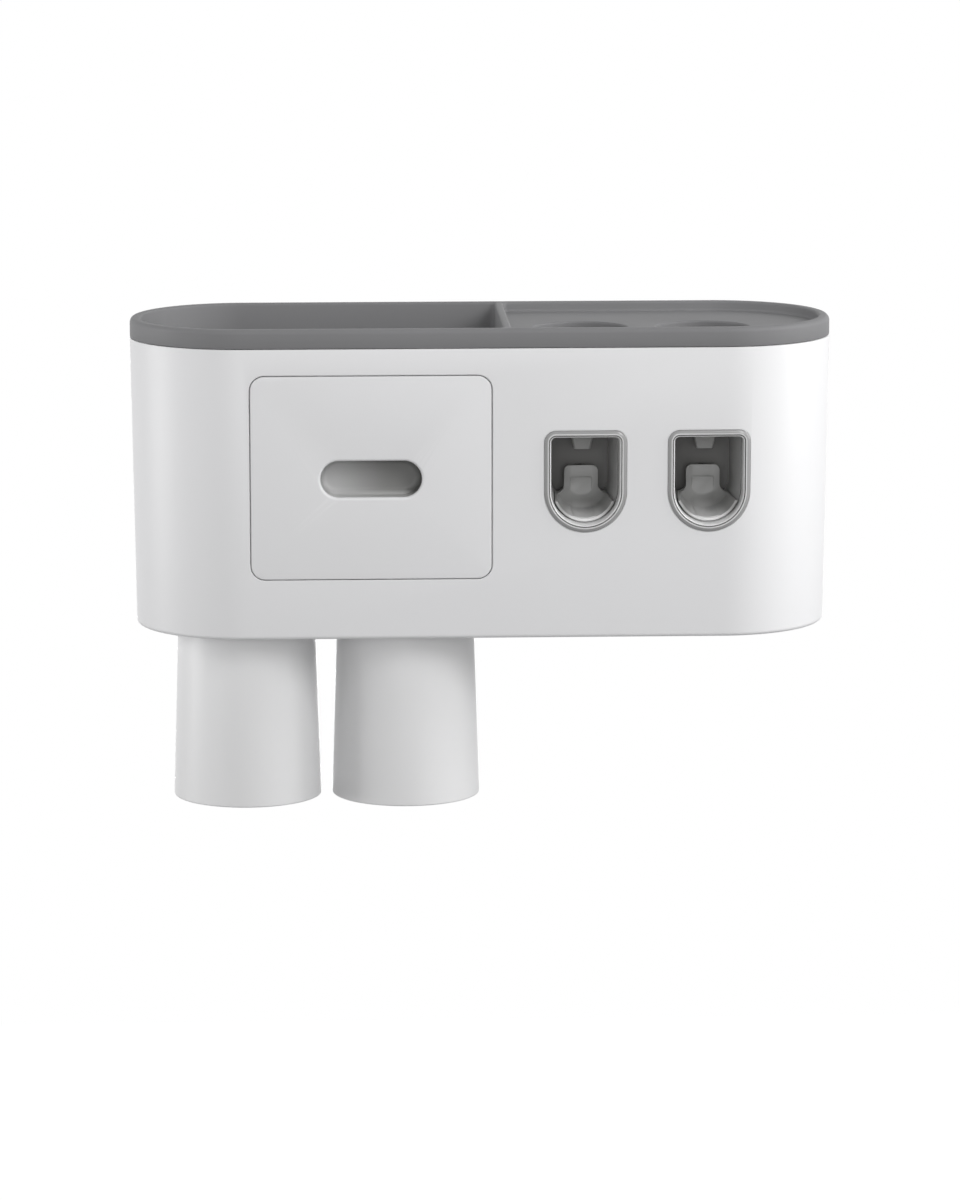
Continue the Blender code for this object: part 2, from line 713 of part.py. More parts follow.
def well_cut(centre):
    shelf = TOP_Z - SHELF_DEPTH
    profile = [(WELL_RADIUS, shelf - WELL_COLLAR - OVERRUN)]
    profile += [(WELL_RADIUS + inset, shelf - rise) for inset, rise in reversed(quarter(EDGE_ROUND))]
    profile.append((WELL_RADIUS + EDGE_ROUND, shelf + OVERRUN))
    return turned(profile, WELL_STEPS, centre=(*centre, 0.0))


def build_tray(parent, gray):
    shelf = TOP_Z - SHELF_DEPTH
    low = TOP_Z - RIM_HEIGHT + FIT_GAP / 2
    tray = add_object("top_tray", rim_mesh(), parent, gray)
    bin_low = TOP_Z - BIN_DEPTH - TRAY_WALL
    fuse(tray, prism_z(bin_outline(TRAY_WALL), bin_low, low + SINK), "bin")
    fuse(tray, prism_z(shelf_outline(TRAY_WALL), low - SKIRT_DEPTH, low + SINK), "skirt")
    cut(tray, pocket(bin_outline, TOP_Z - BIN_DEPTH), "bin_pocket")
    cut(tray, pocket(shelf_outline, shelf), "shelf_pocket")
    under = prism_z(shelf_outline(0.0), low - SKIRT_DEPTH - OVERRUN, shelf - TRAY_WALL)
    cut(tray, under, "under_shelf")
    collars = [
        rod(WELL_RADIUS + TRAY_WALL, shelf - WELL_COLLAR, shelf - SINK, place, WELL_STEPS)
        for place in well_places()
    ]
    fuse(tray, merged(*collars), "collars")
    cut(tray, merged(*[well_cut(place) for place in well_places()]), "wells")


# Drawer

def slot_outline(grow):
    half_height = SLOT_HEIGHT / 2 + grow
    centre = (DRAWER_X, DRAWER_Z - SLOT_DROP)
    return rounded(SLOT_WIDTH / 2 + grow, half_height, half_height, centre, CORNER_STEPS)


def panel_outline(grow):
    half_width, half_height = DRAWER_WIDTH / 2 + grow, DRAWER_HEIGHT / 2 + grow
    return rounded(half_width, half_height, DRAWER_CORNER + grow, (DRAWER_X, DRAWER_Z), CORNER_STEPS)


def post_places():
    return [(DRAWER_X + side * POST_SPREAD, DRAWER_Z - SLOT_DROP) for side in (-1, 1)]


def box_front():
    """The front plane of the drawer box, clear of the leaning panel."""
    return skin_y(DRAWER_X - DRAWER_WIDTH / 2, DRAWER_Z - DRAWER_HEIGHT / 2) + PANEL_THICK + FIT_GAP


def box_outline():
    half = DRAWER_WIDTH / 2 - BOX_MARGIN
    return (DRAWER_X - half, DRAWER_X + half)


def box_floor_z():
    return DRAWER_Z - DRAWER_HEIGHT / 2 + BOX_MARGIN


def box_top_z():
    return DRAWER_Z + DRAWER_HEIGHT / 2 - BOX_TOP_DROP


def pull_cup():
    """The outside of the cup behind the finger slot, from its floor to inside the panel."""
    floor = SLOT_DEPTH + SLOT_WALL
    loops = [
        leaned(slot_outline(SLOT_WALL - inset), floor - rise)
        for inset, rise in quarter(SLOT_ROUND + SLOT_WALL)
    ]
    return loft([*loops, leaned(slot_outline(SLOT_WALL), PANEL_THICK - SINK)])


def pull_hollow():
    loops = [leaned(slot_outline(-inset), SLOT_DEPTH - rise) for inset, rise in quarter(SLOT_ROUND)]
    for inset, rise in reversed(quarter(SLOT_LIP)):
        loops.append(leaned(slot_outline(inset), rise))
    return loft([*loops, leaned(slot_outline(SLOT_LIP), -OVERRUN)])


def build_drawer_front(parent, white):
    loops = [leaned(panel_outline(0.0), PANEL_THICK)]
    for inset, rise in reversed(quarter(PANEL_EDGE, CHAMFER_STEPS)):
        loops.append(leaned(panel_outline(-inset), rise))
    front = add_object("drawer_front", loft(loops), parent, white)
    start = front_y(DRAWER_Z) + PANEL_THICK - SINK
    length = box_front() + BOX_WALL + POST_LENGTH - start
    posts = [small_rod_y(POST_RADIUS, start, length, x, z) for x, z in post_places()]
    fuse(front, merged(pull_cup(), *posts), "cup_and_posts")
    pilots = [small_rod_y(PILOT_RADIUS, start + SINK + FIT_GAP, length, x, z) for x, z in post_places()]
    cut(front, merged(pull_hollow(), *pilots), "slot_and_pilots")


def build_drawer_box(parent, white):
    left, right = box_outline()
    low, high = box_floor_z(), box_top_z()
    front, back = box_front(), -BOX_BACK
    steps = (ROUND_STEPS,) * 4
    outer = cornered((left, front), (right, back), (BOX_CORNER,) * 4, steps)
    wall = BOX_WALL
    inner_low, inner_high = (left + wall, front + wall), (right - wall, back - wall)
    inner = cornered(inner_low, inner_high, (BOX_CORNER - wall,) * 4, steps)
    box = add_object(
        "drawer_box",
        loft([at_z(outer, low), at_z(outer, high), at_z(inner, high), at_z(inner, low + wall)]),
        parent,
        white,
    )
    holes = [prism_y(slot_outline(SLOT_WALL + FIT_GAP), front - OVERRUN, front + wall + OVERRUN)]
    for x, z in post_places():
        holes.append(small_rod_y(POST_RADIUS + FIT_GAP, front - OVERRUN, wall + 2 * OVERRUN, x, z))
    cut(box, merged(*holes), "front_holes")


def build_bay(parent, white):
    left, right = box_outline()
    left, right = left - BAY_GAP, right + BAY_GAP
    low, high = box_floor_z() - BAY_GAP, DRAWER_Z + DRAWER_HEIGHT / 2 - BOX_MARGIN
    flange_left = DRAWER_X - DRAWER_WIDTH / 2 - BAY_FLANGE
    flange_low = DRAWER_Z - DRAWER_HEIGHT / 2 - BAY_FLANGE
    flange_front = skin_y(flange_left, flange_low) + SHELL_WALL + FIT_GAP
    back = -BOX_BACK + BAY_SPARE
    wall = BAY_WALL
    corner = BAY_CORNER
    centre = ((left + right) / 2, (low + high) / 2)
    inner = rounded((right - left) / 2, (high - low) / 2, corner, centre)
    outer = rounded((right - left) / 2 + wall, (high - low) / 2 + wall, corner + wall, centre)
    flange = rounded(
        DRAWER_WIDTH / 2 + BAY_FLANGE,
        DRAWER_HEIGHT / 2 + BAY_FLANGE,
        DRAWER_CORNER + BAY_FLANGE,
        (DRAWER_X, DRAWER_Z),
    )
    loops = [
        at_y(inner, back),
        at_y(inner, flange_front),
        at_y(flange, flange_front),
        at_y(flange, flange_front + wall),
        at_y(outer, flange_front + wall),
        at_y(outer, back + wall),
    ]
    bay = add_object("drawer_bay", loft(loops), parent, white)
    places = [(BAY_SCREW_X, y) for y in BAY_SCREW_Y]
    foot = (FLOOR_Z + FIT_GAP, low - wall + SINK)
    feet = [rod(BOSS_RADIUS, *foot, place, SMALL_CIRCLE_STEPS) for place in places]
    fuse(bay, merged(*feet), "feet")
    top = FLOOR_Z + SCREW_LENGTH
    pilots = [rod(PILOT_RADIUS, FLOOR_Z - OVERRUN, top, place, SMALL_CIRCLE_STEPS) for place in places]
    cut(bay, merged(*pilots), "pilots")


# Brush rack and hood

def hood_outline(grow):
    low = (HOOD_LEFT - grow, -HOOD_FRONT - grow)
    high = (HOOD_RIGHT + grow, -HOOD_BACK + grow)
    corner = HOOD_CORNER + grow
    return cornered(low, high, (corner, HOOD_NOSE + grow, corner, corner), HOOD_STEPS)


def build_hood(parent, white):
    low = FLOOR_Z + FIT_GAP
    loops = [
        at_z(hood_outline(0.0), HOOD_TOP),
        at_z(hood_outline(0.0), low),
        at_z(hood_outline(-HOOD_WALL), low),
        at_z(hood_outline(-HOOD_WALL), HOOD_TOP - HOOD_WALL),
    ]
    hood = add_object("brush_hood", loft(loops), parent, white)
    boss_low = FLOOR_Z + RACK_THICK + 2 * FIT_GAP
    bosses = []
    for x, y in rack_screw_places():
        low_corner = (x - BOSS_RADIUS, y - BOSS_RADIUS)
        high_corner = (x + BOSS_RADIUS, -HOOD_BACK - HOOD_WALL / 2)
        radii = (BOSS_RADIUS, BOSS_RADIUS, SINK, SINK)
        block = cornered(low_corner, high_corner, radii, (ROUND_STEPS,) * 4)
        bosses.append(prism_z(block, boss_low, boss_low + RACK_BOSS_HEIGHT))
    fuse(hood, merged(*bosses), "bosses")
    low, high = boss_low - OVERRUN, boss_low + SCREW_LENGTH
    pilots = [rod(PILOT_RADIUS, low, high, place, SMALL_CIRCLE_STEPS) for place in rack_screw_places()]
    cut(hood, merged(*pilots), "pilots")


def rack_outline():
    """The rack's plan: a plate with brush notches open towards the front."""
    inner = HOOD_WALL + HOOD_GAP
    left, right = HOOD_LEFT + inner, HOOD_RIGHT - inner
    back = -HOOD_BACK - inner
    corner = HOOD_CORNER - inner
    points = arc((right - corner, back - corner), corner, 0.0, RIGHT_ANGLE, ROUND_STEPS)
    points += arc((left + corner, back - corner), corner, RIGHT_ANGLE, 2 * RIGHT_ANGLE, ROUND_STEPS)
    front = -RACK_FRONT
    half = NOTCH_WIDTH / 2
    tip = FINGER_ROUND
    points += arc((left + tip, front + tip), tip, 2 * RIGHT_ANGLE, 3 * RIGHT_ANGLE, ROUND_STEPS)
    for i in range(BRUSH_COUNT):
        x = BRUSH_X + (i - (BRUSH_COUNT - 1) / 2) * BRUSH_PITCH
        points += arc((x - half - tip, front + tip), tip, 3 * RIGHT_ANGLE, 4 * RIGHT_ANGLE, ROUND_STEPS)
        points += arc((x, NOTCH_Y), half, 2 * RIGHT_ANGLE, 0.0, 2 * ROUND_STEPS)
        points += arc((x + half + tip, front + tip), tip, 2 * RIGHT_ANGLE, 3 * RIGHT_ANGLE, ROUND_STEPS)
    nose = HOOD_NOSE - inner
    centre = (HOOD_RIGHT - HOOD_NOSE, -HOOD_FRONT + HOOD_NOSE)
    return points + arc(centre, nose, math.asin((front - centre[1]) / nose), 0.0, 2 * ROUND_STEPS)


def build_rack(parent, gray):
    low = FLOOR_Z + FIT_GAP
    rack = add_object("brush_rack", prism_z(rack_outline(), low, low + RACK_THICK), parent, gray)
    low, high = low - OVERRUN, low + RACK_THICK + OVERRUN
    holes = [rod(SCREW_HOLE, low, high, place, SMALL_CIRCLE_STEPS) for place in rack_screw_places()]
    cut(rack, merged(*holes), "screw_holes")


# Wall hangers

def build_hangers(parent, clear, foam):
    for side, word in ((-1, "left"), (1, "right")):
        pad = prism_y(hanger_outline(side, 0.0), -FOAM_THICK, 0.0)
        add_object(f"adhesive_pad_{word}", pad, parent, foam)
        back = -FOAM_THICK - FIT_GAP
        front = back - HANGER_THICK
        plate = prism_y(hanger_outline(side, 0.0), front, back)
        hanger = add_object(f"wall_hanger_{word}", plate, parent, clear)
        head_back = -hanger_reach() - POCKET_FLOOR - FIT_GAP
        head_front = head_back - STUD_HEAD_THICK
        profile = [
            (STUD_HEAD - EDGE_ROUND, head_front),
            (STUD_HEAD, head_front + EDGE_ROUND),
            (STUD_HEAD, head_back),
            (STUD_NECK, head_back),
            (STUD_NECK, front + SINK),
        ]
        stud = turned(profile, along_y=True, centre=(side * HANGER_X, 0.0, HANGER_Z + STUD_RISE))
        fuse(hanger, stud, "stud")


# Cups and magnets

def cup_profile():
    """Outside from the recess in the base to the lip, then up the inside, as (radius, z)."""
    recess = DISC_THICK + CAP_THICK + 2 * FIT_GAP
    bore = DISC_RADIUS + FIT_GAP
    profile = [(bore, -recess), (bore, 0.0)]
    profile += [(CUP_BASE_RADIUS - inset, -rise) for inset, rise in quarter(CUP_FILLET)]
    slope = (CUP_MOUTH_RADIUS - CUP_BASE_RADIUS) / CUP_HEIGHT
    profile.append((CUP_MOUTH_RADIUS - slope * CUP_LIP, -CUP_HEIGHT + CUP_LIP))
    profile.append((CUP_MOUTH_RADIUS - CUP_LIP, -CUP_HEIGHT))
    profile.append((CUP_MOUTH_RADIUS - CUP_WALL + CUP_LIP / 2, -CUP_HEIGHT))
    profile.append((CUP_MOUTH_RADIUS - CUP_WALL, -CUP_HEIGHT + CUP_LIP))
    inner = CUP_BASE_RADIUS - CUP_WALL + slope * CUP_BASE
    edge = reversed(quarter(CUP_FILLET, CHAMFER_STEPS))
    profile += [(inner - inset, -CUP_BASE - rise) for inset, rise in edge]
    return profile


def build_cups(root, parents, steel, white, dark):
    cup_mesh = disc_mesh = cap_mesh = magnet_mesh = cover_mesh = None
    for x, parent, word in zip(CUP_X, parents, ("left", "right")):
        if cup_mesh is None:
            cup = add_object(f"cup_{word}", turned(cup_profile(), BIG_CIRCLE_STEPS), parent, white)
            low = -CAP_THICK - FIT_GAP - DISC_THICK
            disc = add_object(f"cup_magnet_{word}", rod(DISC_RADIUS, low, low + DISC_THICK), parent, steel)
            cap = add_object(f"cup_cap_{word}", rod(DISC_RADIUS, -CAP_THICK, 0.0), parent, white)
            cup_mesh, disc_mesh, cap_mesh = cup.data, disc.data, cap.data
        else:
            add_copy(f"cup_{word}", cup_mesh, parent)
            add_copy(f"cup_magnet_{word}", disc_mesh, parent)
            add_copy(f"cup_cap_{word}", cap_mesh, parent)
        seat = FLOOR_Z + FIT_GAP
        magnet = rod(MAGNET_RADIUS, 0.0, MAGNET_THICK)
        add_object(f"holder_magnet_{word}", magnet, root, dark, (x, CUP_Y, seat))
        rim = MAGNET_RADIUS + FIT_GAP + RING_WALL
        plug = MAGNET_RADIUS
        top = RING_HEIGHT + FIT_GAP
        profile = [(plug, top - COVER_PLUG), (plug, top), (rim, top), (rim, top + COVER_RIM)]
        add_object(f"magnet_cover_{word}", turned(profile), root, white, (x, CUP_Y, FLOOR_Z))


# Squeezers, built round x = 0 and carried by an empty at their own x

def bezel_profile():
    """Inset and depth round the ring's section, from its outer edge over the front and back."""
    ridge = BEZEL_BEVEL + BEZEL_RIDGE
    lip = ridge + BEZEL_GROOVE
    inner = lip + BEZEL_LIP
    seat = BEZEL_RECESS - FIT_GAP
    return [
        (0.0, seat),
        (0.0, -BEZEL_EDGE),
        (BEZEL_BEVEL, -BEZEL_PROUD),
        (ridge, -BEZEL_PROUD),
        (ridge, -BEZEL_PROUD + BEZEL_GROOVE),
        (lip, -BEZEL_PROUD + BEZEL_GROOVE),
        (inner, BEZEL_LIP),
        (inner + FIT_GAP, COLLAR_BACK),
        (COLLAR_OUT, COLLAR_BACK),
        (COLLAR_OUT, seat),
    ]


def build_bezel(parent, word, gloss):
    middle = parent.location.x
    loops = [leaned(window_outline(inset), depth, middle) for inset, depth in bezel_profile()]
    add_object(f"bezel_{word}", loft(loops, ring=True), parent, gloss)


def cavity_front():
    return housing_front() + MOUTH_DEPTH


def cavity_back():
    return -BODY_DEPTH + CAVITY_DEPTH


def pump_front():
    return cavity_back() + HOUSING_WALL


def pump_back():
    return pump_front() + PUMP_LENGTH


def housing_mesh():
    mouth = COLLAR_OUT - FIT_GAP
    sections = [
        (CAVITY_BACK - HOUSING_WALL, pump_front()),
        (mouth - HOUSING_WALL, cavity_front()),
        (mouth - HOUSING_WALL, housing_front()),
        (mouth, housing_front()),
        (mouth, cavity_front()),
        (CAVITY_MOUTH, cavity_front()),
        (CAVITY_BACK, cavity_back()),
    ]
    return loft([at_y(window_outline(inset), y) for inset, y in sections])


def housing_additions():
    ears = rounded(EAR_X + EAR_HALF, EAR_HALF, EAR_HALF, (0.0, EAR_Z))
    return prism_y(ears, ear_front(), ear_front() + EAR_THICK)


def pump_tube():
    outer, inner = PUMP_RADIUS + PUMP_WALL, PUMP_RADIUS
    front = -HOUSING_WALL / 2
    profile = [(outer, front), (outer, PUMP_LENGTH), (inner, PUMP_LENGTH), (inner, front)]
    return turned(profile, ring=True, along_y=True, centre=(0.0, pump_front(), ROD_Z))


def manifold_block():
    low = WINDOW_TOP - CAVITY_MOUTH + HOUSING_WALL / 2
    outline = cornered(
        (-MANIFOLD_HALF, NOZZLE_Y - MANIFOLD_NOSE),
        (MANIFOLD_HALF, MANIFOLD_BACK),
        (NOZZLE_CORNER,) * 4,
        (CHAMFER_STEPS,) * 4,
    )
    return prism_z(outline, low, MANIFOLD_TOP)


def cavity_core():
    """The open space of the window, which clears what the ears and the manifold put in it."""
    sections = [
        (CAVITY_MOUTH, cavity_front() - MOUTH_DEPTH - OVERRUN),
        (CAVITY_MOUTH, cavity_front()),
        (CAVITY_BACK, cavity_back()),
    ]
    return loft([at_y(window_outline(inset), y) for inset, y in sections])


def socket_cut():
    profile = [
        (PASSAGE_RADIUS, PASSAGE_Z),
        (PASSAGE_RADIUS, valve_floor()),
        (VALVE_RADIUS + FIT_GAP, valve_floor()),
        (VALVE_RADIUS + FIT_GAP, socket_floor()),
        (SOCKET_RADIUS, socket_floor()),
        (SOCKET_RADIUS, MANIFOLD_TOP + OVERRUN),
    ]
    return turned(profile, centre=(0.0, TUBE_Y, 0.0))


def socket_floor():
    return MANIFOLD_TOP - SOCKET_DEPTH


def valve_floor():
    return socket_floor() - VALVE_SEAT


def passage_cut():
    back = MANIFOLD_BACK + OVERRUN
    mouth = MANIFOLD_BACK - PIPE_RADIUS - OVERRUN
    wide = PIPE_RADIUS + FIT_GAP
    profile = [(PASSAGE_RADIUS, NOZZLE_Y), (PASSAGE_RADIUS, mouth), (wide, mouth), (wide, back)]
    return turned(profile, along_y=True, centre=(0.0, 0.0, PASSAGE_Z))


def screw_holes():
    start, length = ear_front() - OVERRUN, EAR_THICK + 2 * OVERRUN
    return [small_rod_y(SCREW_HOLE, start, length, side * EAR_X, EAR_Z) for side in (-1, 1)]


def build_housing(parent, word, dark):
    housing = add_object(f"housing_{word}", housing_mesh(), parent, dark)
    fuse(housing, housing_additions(), "ears")
    fuse(housing, pump_tube(), "pump_tube")
    fuse(housing, manifold_block(), "manifold")
    cut(housing, cavity_core(), "cavity")
    cut(housing, socket_cut(), "socket")
    cut(housing, passage_cut(), "passage")
    nozzle_hole = rod(NOZZLE_SPIGOT + FIT_GAP, NOZZLE_TIP_Z, PASSAGE_Z, (0.0, NOZZLE_Y))
    hole = ROD_RADIUS + PLUNGER_GAP
    guide = turned(
        [(hole, -OVERRUN), (hole, HOUSING_WALL + OVERRUN)], along_y=True, centre=(0.0, cavity_back(), ROD_Z)
    )
    cut(housing, merged(nozzle_hole, guide, *screw_holes()), "holes")


def build_nozzle(parent, word, gray, rubber):
    rise = NOZZLE_TOP_Z - NOZZLE_TIP_Z
    top_half = NOZZLE_TIP_HALF + NOZZLE_TAPER
    loops = []
    for half, z in ((NOZZLE_TIP_HALF, NOZZLE_TIP_Z), (top_half, NOZZLE_TIP_Z + rise)):
        loops.append(at_z(rounded(half, half, NOZZLE_CORNER, (0.0, NOZZLE_Y)), z))
    nozzle = add_object(f"nozzle_{word}", loft(loops), parent, gray)
    spigot_top = PASSAGE_Z - PASSAGE_RADIUS
    fuse(nozzle, rod(NOZZLE_SPIGOT, NOZZLE_TOP_Z - SINK, spigot_top, (0.0, NOZZLE_Y)), "spigot")
    cut(nozzle, rod(NOZZLE_BORE, NOZZLE_TIP_Z - OVERRUN, spigot_top + OVERRUN, (0.0, NOZZLE_Y)), "bore")
    low = NOZZLE_TIP_Z + DUCKBILL_TIP
    flat = rounded(DUCKBILL_RADIUS, DUCKBILL_TIP, DUCKBILL_TIP / 2, (0.0, NOZZLE_Y))
    round_part = rounded(DUCKBILL_RADIUS, DUCKBILL_RADIUS, DUCKBILL_RADIUS, (0.0, NOZZLE_Y))
    middle, high = low + DUCKBILL_LENGTH / 2, low + DUCKBILL_LENGTH
    bill = loft([at_z(flat, low), at_z(round_part, middle), at_z(round_part, high)])
    add_object(f"outlet_valve_{word}", bill, parent, rubber)


def build_inlet(parent, word, rubber):
    low = socket_floor() + FIT_GAP
    plug = SOCKET_RADIUS - FIT_GAP
    seat = MANIFOLD_TOP + FIT_GAP
    top = seat + SOCKET_HEIGHT
    profile = [
        (plug, low),
        (plug, seat),
        (SOCKET_FLANGE, seat),
        (SOCKET_FLANGE, seat + SOCKET_LIP),
        (SOCKET_RADIUS + EDGE_ROUND, seat + SOCKET_LIP),
        (SOCKET_MOUTH + EDGE_ROUND, top),
        (SOCKET_MOUTH, top),
        (SOCKET_BORE, seat),
        (SOCKET_BORE, low),
    ]
    add_object(f"inlet_socket_{word}", turned(profile, ring=True, centre=(0.0, TUBE_Y, 0.0)), parent, rubber)
    low = valve_floor() + FIT_GAP
    profile = [
        (VALVE_STEM, PASSAGE_Z + PASSAGE_RADIUS / 2),
        (VALVE_STEM, low),
        (VALVE_RADIUS, low),
        (VALVE_RADIUS - FIT_GAP, low + VALVE_THICK),
    ]
    add_object(f"inlet_valve_{word}", turned(profile, centre=(0.0, TUBE_Y, 0.0)), parent, rubber)


def paddle_front():
    return -BODY_DEPTH + PADDLE_DEPTH


def scoop_front():
    return -BODY_DEPTH + SCOOP_DEPTH


def cavity_inset(y):
    """How far the cavity's wall lies inside the window's outline at a depth."""
    share = (y - cavity_front()) / (cavity_back() - cavity_front())
    return CAVITY_MOUTH + (CAVITY_BACK - CAVITY_MOUTH) * share


def paddle_radius(y):
    return WINDOW_HALF - cavity_inset(y) - PADDLE_GAP


def paddle_outline(radius):
    """A tab that flares out to the cavity's round bottom, in x and z."""
    half = TAB_HALF
    foot = FLARE_Z - FLARE_RADIUS
    start = math.asin((foot - WINDOW_CENTRE) / radius)
    points = arc((0.0, WINDOW_CENTRE), radius, -2 * RIGHT_ANGLE - start, start, WINDOW_STEPS)
    points += arc((half + FLARE_RADIUS, FLARE_Z), FLARE_RADIUS, -RIGHT_ANGLE, -2 * RIGHT_ANGLE, ROUND_STEPS)
    corner, corner_z = half - TAB_CORNER, TAB_TOP - TAB_CORNER
    points += arc((corner, corner_z), TAB_CORNER, 0.0, RIGHT_ANGLE, ROUND_STEPS)
    points += arc((-corner, corner_z), TAB_CORNER, RIGHT_ANGLE, 2 * RIGHT_ANGLE, ROUND_STEPS)
    points += arc((-half - FLARE_RADIUS, FLARE_Z), FLARE_RADIUS, 0.0, -RIGHT_ANGLE, ROUND_STEPS)
    return points


def scoop_cut():
    """What is hollowed out in front of the tab: a trough that ends in a quarter round."""
    mouth, bend = scoop_front() - OVERRUN, paddle_front() - SCOOP_RADIUS
    sections = [(paddle_radius(mouth) - SCOOP_WALL, mouth)]
    for inset, rise in quarter(SCOOP_RADIUS):
        sections.append((paddle_radius(bend) - SCOOP_WALL - rise, paddle_front() - inset))
    loops = []
    for radius, y in sections:
        outline = arc((0.0, WINDOW_CENTRE), radius, -2 * RIGHT_ANGLE, 0.0, WINDOW_STEPS)
        outline += [(radius, TAB_TOP + OVERRUN), (-radius, TAB_TOP + OVERRUN)]
        loops.append(at_y(outline, y))
    return loft(loops)


def build_paddle(parent, word, gray):
    front, back = scoop_front(), paddle_front() + PADDLE_THICK
    form = loft([at_y(paddle_outline(paddle_radius(y)), y) for y in (front, back)])
    paddle = add_object(f"paddle_{word}", form, parent, gray)
    cut(paddle, scoop_cut(), "scoop")
    pad_z = TAB_TOP - PAD_DROP - PAD_HEIGHT / 2
    pad = rounded(PAD_HALF, PAD_HEIGHT / 2, PAD_RAISE, (0.0, pad_z))
    raised = prism_y(pad, paddle_front() - PAD_RAISE, paddle_front() + SINK)
    end = pump_front() - PLUNGER_GAP / 2
    profile = [(ROD_RADIUS, back - SINK), (ROD_RADIUS, end)]
    profile += [(TIP_RADIUS, end), (TIP_RADIUS, end + TIP_LENGTH)]
    pusher = turned(profile, along_y=True, centre=(0.0, 0.0, ROD_Z))
    fuse(paddle, merged(raised, pusher), "pad_and_rod")


def plunger_front():
    return pump_front() + PLUNGER_GAP


def plunger_back():
    return plunger_front() + PLUNGER_THICK


def build_plunger(parent, word, gray):
    front, back = plunger_front(), plunger_back()
    rim = PUMP_RADIUS - PLUNGER_GAP
    bore = TIP_RADIUS + FIT_GAP
    socket = pump_front() + TIP_LENGTH + FIT_GAP
    profile = [
        (bore, socket),
        (bore, front),
        (rim, front),
        (rim, front + PLUNGER_RIM),
        (BLADDER_RADIUS, back),
    ]
    add_object(f"plunger_{word}", turned(profile, along_y=True, centre=(0.0, 0.0, ROD_Z)), parent, gray)


def cover_face():
    return pump_back() - COVER_SPIGOT


def bladder_profile():
    """Bellows closed at the plunger and open through a neck at the cover, as (radius, y)."""
    front, back = plunger_back() + FIT_GAP, cover_face() - FIT_GAP
    fold = (back - front) / BLADDER_FOLDS
    wall = BLADDER_WALL
    outer = [(BLADDER_WAIST, front)]
    inner = [(BLADDER_WAIST - wall, front + wall)]
    for i in range(BLADDER_FOLDS):
        outer.append((BLADDER_RADIUS, front + fold * (i + 1 / 2)))
        inner.append((BLADDER_RADIUS - wall, front + fold * (i + 1 / 2)))
        if i < BLADDER_FOLDS - 1:
            outer.append((BLADDER_WAIST, front + fold * (i + 1)))
            inner.append((BLADDER_WAIST - wall, front + fold * (i + 1)))
    outer += [(BLADDER_WAIST, back), (NECK_RADIUS, back), (NECK_RADIUS, neck_end())]
    inner += [(BLADDER_WAIST - wall, back - wall), (NECK_BORE, back - wall), (NECK_BORE, neck_end())]
    return outer + list(reversed(inner))


def neck_end():
    return pump_back() + COVER_THICK + NECK_OUT / 2


def build_bladder(parent, word, rubber):
    bladder = turned(bladder_profile(), BLADDER_SIDES, along_y=True, centre=(0.0, 0.0, ROD_Z))
    add_object(f"bladder_{word}", bladder, parent, rubber)


def build_cover(parent, word, dark):
    spigot = PUMP_RADIUS - PLUNGER_GAP
    rim = PUMP_RADIUS + PUMP_WALL
    seat = pump_back() + FIT_GAP
    bore = NECK_RADIUS + FIT_GAP
    profile = [
        (bore, cover_face()),
        (spigot, cover_face()),
        (spigot, seat),
        (rim, seat),
        (rim, seat + COVER_THICK),
        (COLLAR_RADIUS, seat + COVER_THICK),
        (COLLAR_RADIUS, seat + COVER_THICK + COLLAR_LENGTH),
        (bore, seat + COVER_THICK + COLLAR_LENGTH),
    ]
    cover = turned(profile, ring=True, along_y=True, centre=(0.0, 0.0, ROD_Z))
    add_object(f"rear_cover_{word}", cover, parent, dark)


def spring_points():
    front, back = plunger_back() + FIT_GAP, cover_face() - FIT_GAP
    start = front + SPRING_WIRE / 2
    length = back - front - SPRING_WIRE
    count = SPRING_CURLS * SPRING_STEPS
    points = []
    for i in range(count + 1):
        angle = 2 * math.pi * i / SPRING_STEPS
        x, z = SPRING_RADIUS * math.cos(angle), ROD_Z + SPRING_RADIUS * math.sin(angle)
        points.append(Vector((x, start + length * i / count, z)))
    return points


def least_gap(points):
    """The least gap between one curl and the next, measured on the wire's points."""
    gaps = [
        (a - b).length - SPRING_WIRE
        for i, a in enumerate(points)
        for b in points[i + SPRING_STEPS - 2:]
    ]
    return min(gaps)


def build_spring(parent, word, steel):
    curve = bpy.data.curves.new(f"return_spring_{word}", "CURVE")
    curve.dimensions = "3D"
    curve.bevel_depth = SPRING_WIRE / 2
    curve.bevel_resolution = 1
    curve.use_fill_caps = True
    points = spring_points()
    spline = curve.splines.new("POLY")
    spline.points.add(len(points) - 1)
    for target, point in zip(spline.points, points):
        target.co = (*point, 1.0)
    curve.materials.append(steel)
    spring = bpy.data.objects.new(f"return_spring_{word}", curve)
    spring.parent = parent
    bpy.context.scene.collection.objects.link(spring)
    print(f"return_spring_{word}: least gap between curls {least_gap(points) / MM:.2f} mm")


def pipe_path():
    """From the bladder's neck back, up and forward into the manifold, in y and z."""
    start = neck_end() + FIT_GAP
    bend = PIPE_BEND
    rear = start + PIPE_STRAIGHT + bend
    points = [(start, ROD_Z)]
    points += arc((rear - bend, ROD_Z + bend), bend, -RIGHT_ANGLE, 0.0, PIPE_STEPS)
    points += arc((rear - bend, PASSAGE_Z - bend), bend, 0.0, RIGHT_ANGLE, PIPE_STEPS)
    points.append((MANIFOLD_BACK - PIPE_RADIUS - OVERRUN + FIT_GAP, PASSAGE_Z))
    return points


